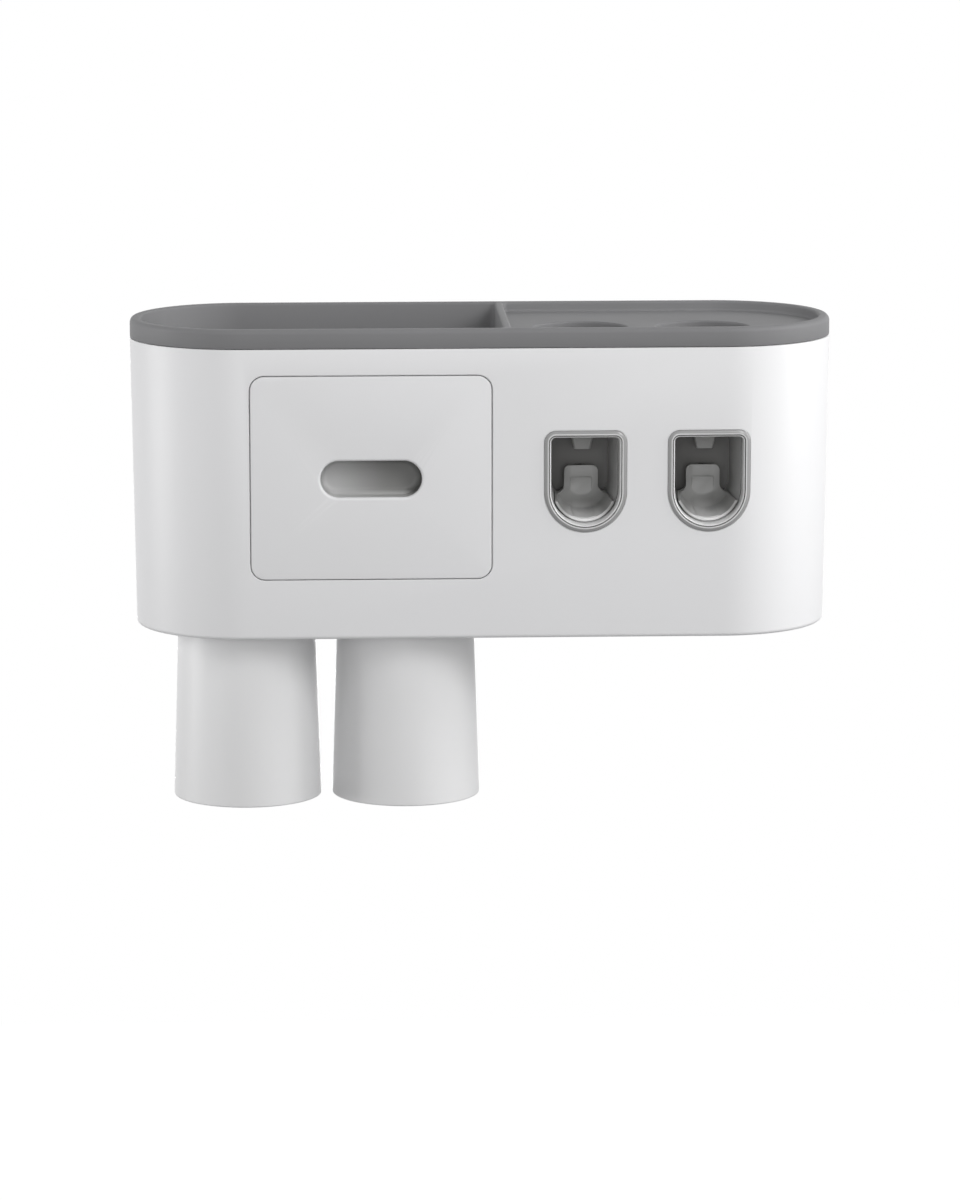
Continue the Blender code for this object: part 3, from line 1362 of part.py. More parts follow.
def pipe_loops(radius):
    path = pipe_path()
    loops = []
    for i, (y, z) in enumerate(path):
        before, after = path[max(i - 1, 0)], path[min(i + 1, len(path) - 1)]
        slope = math.atan2(after[1] - before[1], after[0] - before[0])
        loop = []
        for across, up in circle(radius, PIPE_SIDES):
            loop.append((across, y - up * math.sin(slope), z + up * math.cos(slope)))
        loops.append(loop)
    return loops


def build_pipe(parent, word, dark):
    loops = pipe_loops(PIPE_RADIUS) + list(reversed(pipe_loops(PIPE_BORE)))
    add_object(f"feed_pipe_{word}", loft(loops, ring=True), parent, dark)


# Screws

def screw_mesh():
    """A pan head at the origin with its shank along +Z and a cross recess in the head."""
    profile = [
        (SCREW_HEAD, 0.0),
        (SCREW_HEAD, SCREW_HEAD_THICK),
        (SCREW_RADIUS, SCREW_HEAD_THICK),
        (SCREW_RADIUS, SCREW_LENGTH),
    ]
    return turned(profile, SMALL_CIRCLE_STEPS)


def cross_mesh():
    reach = SCREW_HEAD - CROSS_WIDTH
    half = CROSS_WIDTH / 2
    points = [(half, half), (half, reach), (-half, reach), (-half, half)]
    points += [(-reach, half), (-reach, -half), (-half, -half), (-half, -reach)]
    points += [(half, -reach), (half, -half), (reach, -half), (reach, half)]
    return prism_z(points, -CROSS_DEPTH, CROSS_DEPTH)


def build_screw(name, parent, steel, place, turn=0.0):
    screw = add_object(name, screw_mesh(), parent, steel, place)
    screw.rotation_euler = (turn, 0.0, 0.0)
    tool = cut(screw, cross_mesh(), "cross")
    tool.rotation_euler = screw.rotation_euler


def build_screws(root, drawer, carriers, steel):
    names = ("bay_screw_front", "bay_screw_back", "rack_screw_left", "rack_screw_right")
    for (x, y), name in zip(floor_screw_places(), names):
        build_screw(name, root, steel, (x, y, BASE_Z + COUNTERBORE - FIT_GAP - SCREW_HEAD_THICK))
    for (x, z), word in zip(post_places(), ("left", "right")):
        y = box_front() + BOX_WALL + POST_LENGTH + FIT_GAP + SCREW_HEAD_THICK
        build_screw(f"drawer_screw_{word}", drawer, steel, (x, y, z), RIGHT_ANGLE)
    for carrier, word in zip(carriers, ("left", "right")):
        for side, end in ((-1, "outer"), (1, "inner")):
            y = ear_front() + EAR_THICK + FIT_GAP + SCREW_HEAD_THICK
            build_screw(f"housing_screw_{word}_{end}", carrier, steel, (side * EAR_X, y, EAR_Z), RIGHT_ANGLE)


def main():
    clear_scene()
    white = make_material("white_plastic", (0.82, 0.82, 0.83), 0.38)
    gray = make_material("gray_plastic", (0.20, 0.20, 0.205), 0.42)
    dark = make_material("dark_plastic", (0.065, 0.063, 0.06), 0.5)
    paddle_gray = make_material("paddle_plastic", (0.21, 0.21, 0.205), 0.45)
    gloss = make_material("bezel_gloss", (0.45, 0.45, 0.45), 0.12)
    clear = make_material("clear_plastic", (0.75, 0.78, 0.80), 0.1)
    foam = make_material("adhesive_foam", (0.55, 0.56, 0.58), 0.8)
    rubber = make_material("silicone", (0.72, 0.72, 0.70), 0.5)
    steel = make_material("steel", (0.62, 0.62, 0.63), 0.3, 1.0)
    magnet = make_material("magnet", (0.10, 0.10, 0.11), 0.35, 1.0)

    root = add_empty("wall_frame", (0.0, 0.0, 0.0))
    tray = add_empty("tray_lift_axis", (0.0, 0.0, 0.0), root)
    drawer = add_empty("drawer_slide_axis", (0.0, 0.0, 0.0), root)
    cup_axes = [
        add_empty(f"cup_{word}_axis", (x, CUP_Y, BASE_Z - FIT_GAP), root)
        for x, word in zip(CUP_X, ("left", "right"))
    ]
    carriers = [
        add_empty(f"squeezer_{word}", (x, 0.0, 0.0), root)
        for x, word in zip(SQUEEZER_X, ("left", "right"))
    ]

    build_shell(root, white)
    build_tray(tray, gray)
    build_drawer_front(drawer, white)
    build_drawer_box(drawer, white)
    build_bay(root, white)
    build_hood(root, white)
    build_rack(root, gray)
    build_hangers(root, clear, foam)
    build_cups(root, cup_axes, steel, white, magnet)
    for carrier, word in zip(carriers, ("left", "right")):
        pusher = add_empty(f"paddle_{word}_axis", (0.0, 0.0, 0.0), carrier)
        build_bezel(carrier, word, gloss)
        build_housing(carrier, word, dark)
        build_nozzle(carrier, word, paddle_gray, rubber)
        build_inlet(carrier, word, rubber)
        build_cover(carrier, word, dark)
        build_bladder(carrier, word, rubber)
        build_spring(carrier, word, steel)
        build_pipe(carrier, word, dark)
        build_paddle(pusher, word, paddle_gray)
        build_plunger(pusher, word, paddle_gray)
    build_screws(root, drawer, carriers, steel)


main()
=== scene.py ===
# Looks of a wall-hung toothpaste dispenser: tub, tray, drawer, squeezers, cups and brush rack.
# Metres, +Z up, the wall at y = 0 and the front towards -Y.
import math
from functools import partial

import bmesh
import bpy
from mathutils import Matrix, Vector


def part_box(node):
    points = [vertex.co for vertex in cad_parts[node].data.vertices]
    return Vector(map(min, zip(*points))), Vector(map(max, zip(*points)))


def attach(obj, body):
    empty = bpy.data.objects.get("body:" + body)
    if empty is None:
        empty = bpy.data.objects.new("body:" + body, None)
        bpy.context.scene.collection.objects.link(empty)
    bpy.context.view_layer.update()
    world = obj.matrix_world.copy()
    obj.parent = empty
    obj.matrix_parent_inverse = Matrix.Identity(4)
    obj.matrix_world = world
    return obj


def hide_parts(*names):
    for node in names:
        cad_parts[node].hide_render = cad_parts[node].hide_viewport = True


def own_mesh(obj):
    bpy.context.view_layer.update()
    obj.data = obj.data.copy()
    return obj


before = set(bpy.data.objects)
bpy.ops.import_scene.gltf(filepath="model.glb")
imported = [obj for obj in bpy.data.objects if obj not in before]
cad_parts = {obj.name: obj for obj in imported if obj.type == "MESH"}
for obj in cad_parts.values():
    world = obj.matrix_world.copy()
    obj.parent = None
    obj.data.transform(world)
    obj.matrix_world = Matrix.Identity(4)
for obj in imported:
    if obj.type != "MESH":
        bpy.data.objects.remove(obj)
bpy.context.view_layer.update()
print("frame loaded:", len(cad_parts), "nodes")

mm = 0.001
quarterTurn = math.pi / 2
bothSides = ((-1, "left"), (1, "right"))


def inMm(table):  # numbers with a point are millimetres, whole numbers are counts
    def metres(value):
        if isinstance(value, tuple):
            return tuple(metres(part) for part in value)
        return value * mm if isinstance(value, float) else value

    return {key: metres(value) for key, value in table.items()}


def newObject(name, data):
    item = bpy.data.objects.new(name, data)
    bpy.context.scene.collection.objects.link(item)
    return item


# Camera

camera = {
    "place": (-0.09442, -2.47324, 0.36904), "turn": 0.039, "dip": 0.178, "roll": -0.001,
    "lens": 150.03, "sensor": 36.0, "nearest": 0.05,
}


def addCamera():
    data = bpy.data.cameras.new("photoCamera")
    data.lens, data.sensor_width, data.clip_start = camera["lens"], camera["sensor"], camera["nearest"]
    seen = newObject("photoCamera", data)
    turn = Matrix.Rotation(-camera["turn"], 4, "Z") @ Matrix.Rotation(quarterTurn - camera["dip"], 4, "X")
    seen.matrix_world = Matrix.Translation(camera["place"]) @ turn @ Matrix.Rotation(camera["roll"], 4, "Z")
    bpy.context.scene.camera = seen


addCamera()
print("camera placed")

# Outlines as lists of 2D points


def arcPoints(centre, radius, start, end, steps):
    turns = [start + (end - start) * i / steps for i in range(steps + 1)]
    return [(centre[0] + radius * math.cos(a), centre[1] + radius * math.sin(a)) for a in turns]


def cornered(low, high, radii, steps):  # radii and steps run counter-clockwise from the low corner
    (x0, y0), (x1, y1) = low, high
    a, b, c, d = radii
    centres = ((x0 + a, y0 + a), (x1 - b, y0 + b), (x1 - c, y1 - c), (x0 + d, y1 - d))
    turns = ((2, 3), (3, 4), (0, 1), (1, 2))
    points = []
    for centre, radius, (start, end), count in zip(centres, radii, turns, steps):
        points += arcPoints(centre, radius, start * quarterTurn, end * quarterTurn, count)
    return points


def rounded(halfWidth, halfHeight, radius, centre, steps=8):
    low = (centre[0] - halfWidth, centre[1] - halfHeight)
    high = (centre[0] + halfWidth, centre[1] + halfHeight)
    return cornered(low, high, (radius,) * 4, (steps,) * 4)


def roundEdge(radius, steps=5):  # (inset, rise) from the foot of a quarter round to its head
    turns = [quarterTurn * i / steps for i in range(steps + 1)]
    return [(radius * (1 - math.sin(a)), radius * (1 - math.cos(a))) for a in turns]


def roundBack(radius, steps=5):  # the same from head to foot
    return reversed(roundEdge(radius, steps))


def onZ(points, z):
    return [(x, y, z) for x, y in points]


def onY(points, y):
    return [(x, y, z) for x, z in points]


# Solids

doubled = 1e-7  # points nearer than this are one


def loftMesh(loops, ring=False):
    made = bmesh.new()
    rows = [[made.verts.new(point) for point in loop] for loop in loops]
    for low, high in list(zip(rows, rows[1:])) + ([(rows[-1], rows[0])] if ring else []):
        for i in range(len(low)):
            j = (i + 1) % len(low)
            made.faces.new((low[i], low[j], high[j], high[i]))
    if not ring:
        made.faces.new(list(reversed(rows[0])))
        made.faces.new(rows[-1])
    bmesh.ops.remove_doubles(made, verts=made.verts, dist=doubled)
    bmesh.ops.recalc_face_normals(made, faces=made.faces)
    return made


def slab(points, low, high):
    return loftMesh([onZ(points, z) for z in (low, high)])


def slabAlongY(points, front, back):
    return loftMesh([onY(points, y) for y in (front, back)])


def turnedMesh(profile, steps=32, ring=False, alongY=False, centre=(0.0, 0.0, 0.0)):
    loops = [onZ(arcPoints((0.0, 0.0), radius, 0.0, 4 * quarterTurn, steps)[:-1], z) for radius, z in profile]
    made = loftMesh(loops, ring)
    if alongY:
        bmesh.ops.rotate(made, verts=made.verts, cent=(0, 0, 0), matrix=Matrix.Rotation(-quarterTurn, 3, "X"))
    bmesh.ops.translate(made, verts=made.verts, vec=centre)
    return made


def rodMesh(radius, low, high, x, y, steps=24):
    return turnedMesh([(radius, low), (radius, high)], steps, centre=(x, y, 0.0))


def rodAlongY(radius, start, length, x, z, steps=24):
    return turnedMesh([(radius, 0.0), (radius, length)], steps, alongY=True, centre=(x, start, z))


def newMesh(name, made):  # uses the working mesh up
    mesh = bpy.data.meshes.new(name)
    made.to_mesh(mesh)
    made.free()
    return mesh


def gather(*parts):
    whole = bmesh.new()
    for part in parts:
        mesh = newMesh("part", part)
        whole.from_mesh(mesh)
        bpy.data.meshes.remove(mesh)
    return whole


def asPiece(name, made):
    bmesh.ops.recalc_face_normals(made, faces=made.faces)
    return newObject(name, newMesh(name, made))


def settle(piece):  # swaps the mesh for what its modifiers make of it
    ready = piece.evaluated_get(bpy.context.evaluated_depsgraph_get())
    old, piece.data = piece.data, bpy.data.meshes.new_from_object(ready)
    piece.modifiers.clear()
    bpy.data.meshes.remove(old)


def work(operation, piece, toolMesh):
    tool = asPiece("tool", toolMesh)
    change = piece.modifiers.new("work", "BOOLEAN")
    change.operation, change.solver, change.object = operation, "EXACT", tool
    settle(piece)
    bpy.data.objects.remove(tool)


carve = partial(work, "DIFFERENCE")
fuse = partial(work, "UNION")


def softenEdges(piece, width, segments=2, angle=40.0):
    change = piece.modifiers.new("softEdges", "BEVEL")
    change.width, change.segments, change.use_clamp_overlap = width, segments, True
    change.limit_method, change.angle_limit, change.miter_outer = "ANGLE", math.radians(angle), "MITER_ARC"
    settle(piece)


def seat(piece, bodyName, finishName, slotName, *nodes, angle=28.0):  # smooths, paints and hands over a piece
    piece.data.shade_smooth()
    piece.data.set_sharp_from_angle(angle=math.radians(angle))
    if not piece.data.materials:
        piece.data.materials.append(finishes[finishName])
    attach(piece, bodyName)
    if nodes:
        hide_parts(*nodes)


# Node building


def addNode(tree, kind, values=None, **settings):
    node = tree.nodes.new(kind)
    for key, value in settings.items():
        setattr(node, key, value)
    for key, value in (values or {}).items():
        if isinstance(value, bpy.types.NodeSocket):
            tree.links.new(value, node.inputs[key])
        else:
            node.inputs[key].default_value = value
    return node


def addMath(tree, operation, *values):
    return addNode(tree, "ShaderNodeMath", dict(enumerate(values)), operation=operation).outputs[0]


def addNoise(tree, where, scale, detail):
    values = {"Vector": where, "Scale": scale, "Detail": detail}
    return addNode(tree, "ShaderNodeTexNoise", values).outputs["Fac"]


def socketKind(value):  # a word is the kind itself, a value tells it
    if isinstance(value, tuple):
        return "Vector" if len(value) == 3 else "Color"
    return {int: "Int", float: "Float"}.get(type(value), value)


def newGroup(name, kind, inputs, outputs):
    tree = bpy.data.node_groups.new(name, kind + "NodeTree")
    for direction, sockets in (("INPUT", inputs), ("OUTPUT", outputs)):
        for socketName, value in sockets.items():
            socketType = "NodeSocket" + socketKind(value)
            socket = tree.interface.new_socket(socketName, in_out=direction, socket_type=socketType)
            if not isinstance(value, str):
                socket.default_value = value
    return tree, tree.nodes.new("NodeGroupInput").outputs, tree.nodes.new("NodeGroupOutput").inputs


def spanMask(tree, value, low, high, top=1.0, ease="SMOOTHSTEP"):  # 0 to top while the value runs low to high
    span = {"Value": value, "From Min": low, "From Max": high, "To Max": top}
    return addNode(tree, "ShaderNodeMapRange", span, interpolation_type=ease).outputs["Result"]


def mixColour(tree, share, one, other):
    return addNode(tree, "ShaderNodeMix", {"Factor": share, 6: one, 7: other}, data_type="RGBA").outputs[2]


def facedAlong(tree, axis):
    normal = addNode(tree, "ShaderNodeNewGeometry").outputs["Normal"]
    return addNode(tree, "ShaderNodeSeparateXYZ", {"Vector": normal}).outputs[axis]


def makeMouldSkin():  # fine spark grain of a moulded face with a slow waver
    inputs = {"Vector": "Vector", "Grain Scale": 1800.0, "Waver Scale": 18.0, "Roughness": 0.4, "Spread": 0.08}
    tree, given, out = newGroup("mouldSkin", "Shader", inputs, {"Height": "Float", "Roughness": "Float"})
    grain = addNoise(tree, given["Vector"], given["Grain Scale"], 2.0)
    waver = addNoise(tree, given["Vector"], given["Waver Scale"], 3.0)
    height = addMath(tree, "ADD", grain, addMath(tree, "MULTIPLY", waver, 6.0))
    centred = addMath(tree, "SUBTRACT", waver, 0.5)
    worn = addMath(tree, "MULTIPLY_ADD", centred, given["Spread"], given["Roughness"])
    tree.links.new(height, out["Height"])
    tree.links.new(worn, out["Roughness"])
    return tree


def makeTintDrift():  # slow and fine colour variation of the same plastic batch
    tones = {"Color": (0.8, 0.8, 0.8, 1.0), "Shade": (0.75, 0.75, 0.75, 1.0)}
    inputs = {"Vector": "Vector", **tones, "Scale": 9.0, "Amount": 0.5}
    tree, given, out = newGroup("tintDrift", "Shader", inputs, {"Color": "Color"})
    cloud = addNoise(tree, given["Vector"], given["Scale"], 4.0)
    share = spanMask(tree, cloud, 0.35, 0.7, given["Amount"])
    tree.links.new(mixColour(tree, share, given["Color"], given["Shade"]), out["Color"])
    return tree


def makeSettledDust():  # a thin film on faces that look up
    tones = {"Color": (0.2, 0.2, 0.2, 1.0), "Dust": (0.6, 0.59, 0.57, 1.0)}
    inputs = {"Vector": "Vector", **tones, "Amount": 0.06}
    tree, given, out = newGroup("settledDust", "Shader", inputs, {"Color": "Color", "Mask": "Float"})
    upward = spanMask(tree, facedAlong(tree, "Z"), 0.6, 1.0, given["Amount"], "LINEAR")
    mask = addMath(tree, "MULTIPLY", upward, addNoise(tree, given["Vector"], 60.0, 6.0))
    tree.links.new(mixColour(tree, mask, given["Color"], given["Dust"]), out["Color"])
    tree.links.new(mask, out["Mask"])
    return tree


# paints shade: the faces that look along the depth, such as a cavity's back wall, take a darker colour
def makePaintedBackShadeMask():  # 1 on faces that look along the depth of the object, 0 on its side walls
    tree, given, out = newGroup("paintedBackShadeMask", "Shader", {"From": 0.6, "To": 0.95}, {"Mask": "Float"})
    flat = addMath(tree, "ABSOLUTE", facedAlong(tree, "Y"))
    tree.links.new(spanMask(tree, flat, given["From"], given["To"]), out["Mask"])
    return tree


xAxis, down = (1.0, 0.0, 0.0), (0.0, 0.0, -1.0)


# the mask for painted light and shade along an axis
def makeSideFade():  # 0 to 1 between two places along one object axis
    inputs = {"Vector": "Vector", "Axis": xAxis, "From": 0.0, "To": 1.0}
    tree, given, out = newGroup("sideFade", "Shader", inputs, {"Mask": "Float"})
    values = {0: given["Vector"], 1: given["Axis"]}
    along = addNode(tree, "ShaderNodeVectorMath", values, operation="DOT_PRODUCT").outputs["Value"]
    tree.links.new(spanMask(tree, along, given["From"], given["To"]), out["Mask"])
    return tree


mouldSkin, paintedBackShadeMask, sideFade = makeMouldSkin(), makePaintedBackShadeMask(), makeSideFade()
tintDrift, settledDust = makeTintDrift(), makeSettledDust()

# Finishes: a colour is one gray level or red, green and blue, and a painted fade is (axis, from, to, colour),
# light or shade painted into the colour along one axis

usualLook = {
    "grain": 1800.0, "waver": 18.0, "spread": 0.08, "drift": 9.0, "amount": 0.5,
    "bump": 0.15, "depth": 0.00002, "stretch": (1.0, 1.0, 1.0), "shader": {}, "paintedFades": (),
}
looks = {
    "tubWhite": {
        "colour": (0.80, 0.80, 0.81), "shade": (0.785, 0.785, 0.79), "roughness": 0.42, "spread": 0.06,
        "shader": {"Specular IOR Level": 0.4},
    },
    "insideWhite": {"colour": (0.78, 0.78, 0.775), "shade": (0.74, 0.74, 0.73), "roughness": 0.5, "dust": 0.05},
    "trayGray": {
        "colour": (0.22, 0.22, 0.225), "shade": (0.205, 0.205, 0.209), "roughness": 0.55, "bump": 0.3,
        "shader": {"Specular IOR Level": 0.2},
    },
    # painted shade for the pull slot's cup: gray darkening to the right, with painted light along the slot's
    # bottom
    "slotPaintedShade": {
        "colour": 0.45, "shade": 0.43, "roughness": 0.45,
        "paintedFades": ((xAxis, -0.077, -0.042, (0.17, 0.17, 0.165)), (down, 0.0035, 0.0062, (0.6, 0.6, 0.595))),
    },
    # painted light and shade in the squeezer housings: walls painted light gray in place of their reflections,
    # a painted dark back wall, and painted light near the bottom
    "cavityPaintedShading": {
        "colour": (0.6, 0.6, 0.595), "shade": (0.56, 0.56, 0.555), "roughness": 0.4,
        "paintedBackShade": (0.135, 0.133, 0.128), "paintedFades": ((down, 0.0155, 0.0195, (0.85, 0.85, 0.845)),),
    },
    "paddleGray": {
        "colour": (0.36, 0.36, 0.355), "shade": (0.335, 0.335, 0.33), "roughness": 0.4, "bump": 0.25,
    },
    # a darker copy of paddleGray as painted shade, with painted light fading to near white towards the scoop's
    # bottom
    "paddlePaintedShading": {
        "colour": (0.32, 0.32, 0.315), "shade": (0.3, 0.3, 0.295), "roughness": 0.4, "bump": 0.25,
        "paintedFades": ((down, 0.013, 0.0195, (0.85, 0.85, 0.845)),),
    },
    "bezelGloss": {"colour": 0.33, "shade": 0.3, "roughness": 0.22, "spread": 0.04, "bump": 0.05},
    # painted light and shade on the bezel ring: a painted highlight on the ridge, painted light on the lip and
    # a painted shadow in the groove
    "bezelPaintedHighlight": {"colour": 0.66, "shade": 0.62, "roughness": 0.12, "spread": 0.03, "bump": 0.05},
    "bezelPaintedLight": {"colour": 0.84, "shade": 0.8, "roughness": 0.16, "spread": 0.03, "bump": 0.05},
    "bezelPaintedShadow": {"colour": 0.12, "shade": 0.1, "roughness": 0.2, "bump": 0.05},
    "cupSatin": {
        "colour": (0.81, 0.81, 0.815), "shade": (0.785, 0.785, 0.79), "roughness": 0.37, "spread": 0.06,
        "shader": {"Specular IOR Level": 0.3},
    },
    "hangerClear": {
        "colour": (0.72, 0.75, 0.77), "shade": (0.68, 0.71, 0.73), "roughness": 0.12, "bump": 0.05,
        "shader": {"Transmission Weight": 0.35, "IOR": 1.49},
    },
    "padFoam": {
        "colour": (0.52, 0.53, 0.55), "shade": (0.44, 0.45, 0.47), "roughness": 0.85,
        "grain": 900.0, "bump": 0.6, "depth": 0.0001,
    },
    "milkSilicone": {
        "colour": (0.74, 0.74, 0.72), "shade": (0.68, 0.68, 0.66), "roughness": 0.48,
        "shader": {"Sheen Weight": 0.15, "Subsurface Weight": 0.1, "Subsurface Scale": 0.002},
    },
    "brightSteel": {
        "colour": (0.63, 0.63, 0.64), "shade": (0.55, 0.55, 0.56), "roughness": 0.28,
        "stretch": (1.0, 1.0, 6.0), "grain": 1200.0, "shader": {"Metallic": 1.0},
    },
    "blackFerrite": {
        "colour": (0.09, 0.09, 0.095), "shade": (0.05, 0.05, 0.055), "roughness": 0.55,
        "grain": 1500.0, "bump": 0.5, "shader": {"Metallic": 0.3},
    },
}


def rgba(colour):
    return (*((colour,) * 3 if isinstance(colour, float) else colour), 1.0)


def placeGroup(tree, group, values):
    return addNode(tree, "ShaderNodeGroup", values, node_tree=group).outputs


def makeFinish(name, look):
    look = {**usualLook, **look}
    finish = bpy.data.materials.new(name)
    finish.use_nodes = True
    tree = finish.node_tree
    shader = tree.nodes["Principled BSDF"].inputs
    places = addNode(tree, "ShaderNodeTexCoord").outputs["Object"]
    where = addNode(tree, "ShaderNodeMapping", {"Vector": places, "Scale": look["stretch"]}).outputs["Vector"]
    grained = {"Grain Scale": look["grain"], "Waver Scale": look["waver"]}
    worn = {"Vector": where, **grained, "Roughness": look["roughness"], "Spread": look["spread"]}
    skin = placeGroup(tree, mouldSkin, worn)
    tones = {"Color": rgba(look["colour"]), "Shade": rgba(look["shade"])}
    drift = {"Vector": where, **tones, "Scale": look["drift"], "Amount": look["amount"]}
    colour = placeGroup(tree, tintDrift, drift)["Color"]
    # painted shade on faces that look along the depth
    if "paintedBackShade" in look:
        colour = mixColour(tree, placeGroup(tree, paintedBackShadeMask, {})["Mask"], colour, rgba(look["paintedBackShade"]))
    # painted light and shade, faded in along one axis
    for axis, start, end, other in look["paintedFades"]:
        mask = placeGroup(tree, sideFade, {"Vector": where, "Axis": axis, "From": start, "To": end})["Mask"]
        colour = mixColour(tree, mask, colour, rgba(other))
    if "dust" in look:
        film = {"Vector": places, "Color": colour, "Amount": look["dust"]}
        colour = placeGroup(tree, settledDust, film)["Color"]
    relief = {"Strength": look["bump"], "Distance": look["depth"], "Height": skin["Height"]}
    normal = addNode(tree, "ShaderNodeBump", relief).outputs["Normal"]
    for socketName, source in (("Base Color", colour), ("Roughness", skin["Roughness"]), ("Normal", normal)):
        tree.links.new(source, shader[socketName])
    for socketName, value in look["shader"].items():
        shader[socketName].default_value = value
    return finish


finishes = {name: makeFinish(name, look) for name, look in looks.items()}
print("finishes made:", len(finishes))

# Node trees that grow meshes

grown = {"Geometry": "Geometry"}


def addVector(tree, x=0.0, y=0.0, z=0.0):
    return addNode(tree, "ShaderNodeCombineXYZ", {"X": x, "Y": y, "Z": z}).outputs[0]


def endTree(tree, out, geometry, material):
    whole = addNode(tree, "GeometryNodeRealizeInstances", {"Geometry": geometry})
    painted = addNode(tree, "GeometryNodeSetMaterial", {"Geometry": whole.outputs[0], "Material": material})
    tree.links.new(painted.outputs[0], out["Geometry"])
    return tree


def sweep(tree, curve, radius, sides):  # a closed tube of few sides along a curve
    circle = {"Resolution": sides, "Radius": radius}
    section = addNode(tree, "GeometryNodeCurvePrimitiveCircle", circle, mode="RADIUS").outputs["Curve"]
    tube = {"Curve": curve, "Profile Curve": section, "Fill Caps": True}
    return addNode(tree, "GeometryNodeCurveToMesh", tube).outputs["Mesh"]


def helix(tree, radius, turns, run, resolution):
    values = {"Resolution": resolution, "Rotations": turns}
    values |= {"Start Radius": radius, "End Radius": radius, "Height": run}
    return addNode(tree, "GeometryNodeCurveSpiral", values).outputs["Curve"]


def makeTurnedShape():  # carries a profile, given as points in x and z, round the z axis
    inputs = {"Profile": "Geometry", "Steps": 64, "Material": "Material"}
    tree, given, out = newGroup("turnedShape", "Geometry", inputs, grown)
    node, calc = partial(addNode, tree), partial(addMath, tree)
    rows = node("GeometryNodeAttributeDomainSize", {"Geometry": given["Profile"]}).outputs["Point Count"]
    grid = {"Vertices X": calc("ADD", given["Steps"], 1.0), "Vertices Y": rows}
    sheet = node("GeometryNodeMeshGrid", grid).outputs["Mesh"]
    index = node("GeometryNodeInputIndex").outputs[0]
    column = calc("FLOOR", calc("DIVIDE", index, rows))
    angle = calc("MULTIPLY", calc("DIVIDE", column, given["Steps"]), 4 * quarterTurn)
    place = node("GeometryNodeInputPosition").outputs[0]
    wanted = {"Geometry": given["Profile"], "Value": place, "Index": calc("FLOORED_MODULO", index, rows)}
    picked = node("GeometryNodeSampleIndex", wanted, data_type="FLOAT_VECTOR", domain="POINT").outputs["Value"]
    point = node("ShaderNodeSeparateXYZ", {"Vector": picked}).outputs
    x, y = (calc("MULTIPLY", point["X"], calc(wave, angle)) for wave in ("COSINE", "SINE"))
    moved = node("GeometryNodeSetPosition", {"Geometry": sheet, "Position": addVector(tree, x, y, point["Z"])})
    joined = node("GeometryNodeMergeByDistance", {"Geometry": moved.outputs[0], "Distance": 1e-6})
    return endTree(tree, out, joined.outputs[0], given["Material"])


def makeScrewTree():  # pan-head screws on the start points, shank along each point's z after its "turn"
    sizes = inMm({
        "Head Radius": 3.0, "Head Thickness": 1.1, "Shank Radius": 1.3, "Length": 9.0, "Thread Pitch": 1.1,
        "Thread Height": 0.2, "Cross Width": 0.8, "Cross Depth": 0.6,
    })
    inputs = {"Points": "Geometry", **sizes, "Material": "Material"}
    tree, given, out = newGroup("panScrews", "Geometry", inputs, grown)
    node, calc = partial(addNode, tree), partial(addMath, tree)
    head, thick, shank, length, width = (
        given[key] for key in ("Head Radius", "Head Thickness", "Shank Radius", "Length", "Cross Width")
    )
    times = partial(calc, "MULTIPLY")
    rings = [
        (0.0, times(thick, 0.0)), (times(head, 0.78), times(thick, 0.04)),
        (times(head, 0.93), times(thick, 0.22)), (head, times(thick, 0.6)), (head, thick),
        (shank, times(thick, 1.05)), (shank, times(length, 0.84)),
        (times(shank, 0.3), times(length, 0.99)), (0.0, length),
    ]
    stack = []
    for (lowRadius, low), (highRadius, high) in zip(rings, rings[1:]):
        taper = {"Vertices": 24, "Radius Top": highRadius, "Radius Bottom": lowRadius}
        taper["Depth"] = calc("SUBTRACT", high, low)
        cone = node("GeometryNodeMeshCone", taper, fill_type="NONE").outputs["Mesh"]
        place = {"Geometry": cone, "Translation": addVector(tree, z=low)}
        stack.append(node("GeometryNodeTransform", place).outputs[0])
    shell = node("GeometryNodeJoinGeometry")
    for part in reversed(stack):
        tree.links.new(part, shell.inputs[0])
    solid = node("GeometryNodeMergeByDistance", {"Geometry": shell.outputs[0], "Distance": 1e-6})
    reach, sink = times(head, 1.3), times(given["Cross Depth"], 2.0)
    shallow = times(sink, 0.9)  # bars of one depth would share faces and tear the floor
    cross = node("GeometryNodeMeshBoolean", operation="UNION")
    for size in ((reach, width, sink), (width, reach, shallow)):
        bar = node("GeometryNodeMeshCube", {"Size": addVector(tree, *size)})
        tree.links.new(bar.outputs["Mesh"], cross.inputs["Mesh 2"])
    cut = node("GeometryNodeMeshBoolean", {"Mesh 1": solid.outputs[0]}, operation="DIFFERENCE")
    tree.links.new(cross.outputs["Mesh"], cut.inputs["Mesh 2"])
    start = times(thick, 1.6)
    run = calc("SUBTRACT", times(length, 0.82), start)
    ridge = helix(tree, shank, calc("DIVIDE", run, given["Thread Pitch"]), run, 20)
    thread = sweep(tree, ridge, given["Thread Height"], 3)
    screw = node("GeometryNodeJoinGeometry", {0: cut.outputs["Mesh"]})
    raised = node("GeometryNodeTransform", {"Geometry": thread, "Translation": addVector(tree, z=start)})
    tree.links.new(raised.outputs[0], screw.inputs[0])
    turn = node("GeometryNodeInputNamedAttribute", {"Name": "turn"}, data_type="FLOAT_VECTOR")
    angle = node("FunctionNodeEulerToRotation", {"Euler": turn.outputs["Attribute"]}).outputs[0]
    spread = {"Points": given["Points"], "Instance": screw.outputs[0], "Rotation": angle}
    placed = node("GeometryNodeInstanceOnPoints", spread)
    return endTree(tree, out, placed.outputs[0], given["Material"])


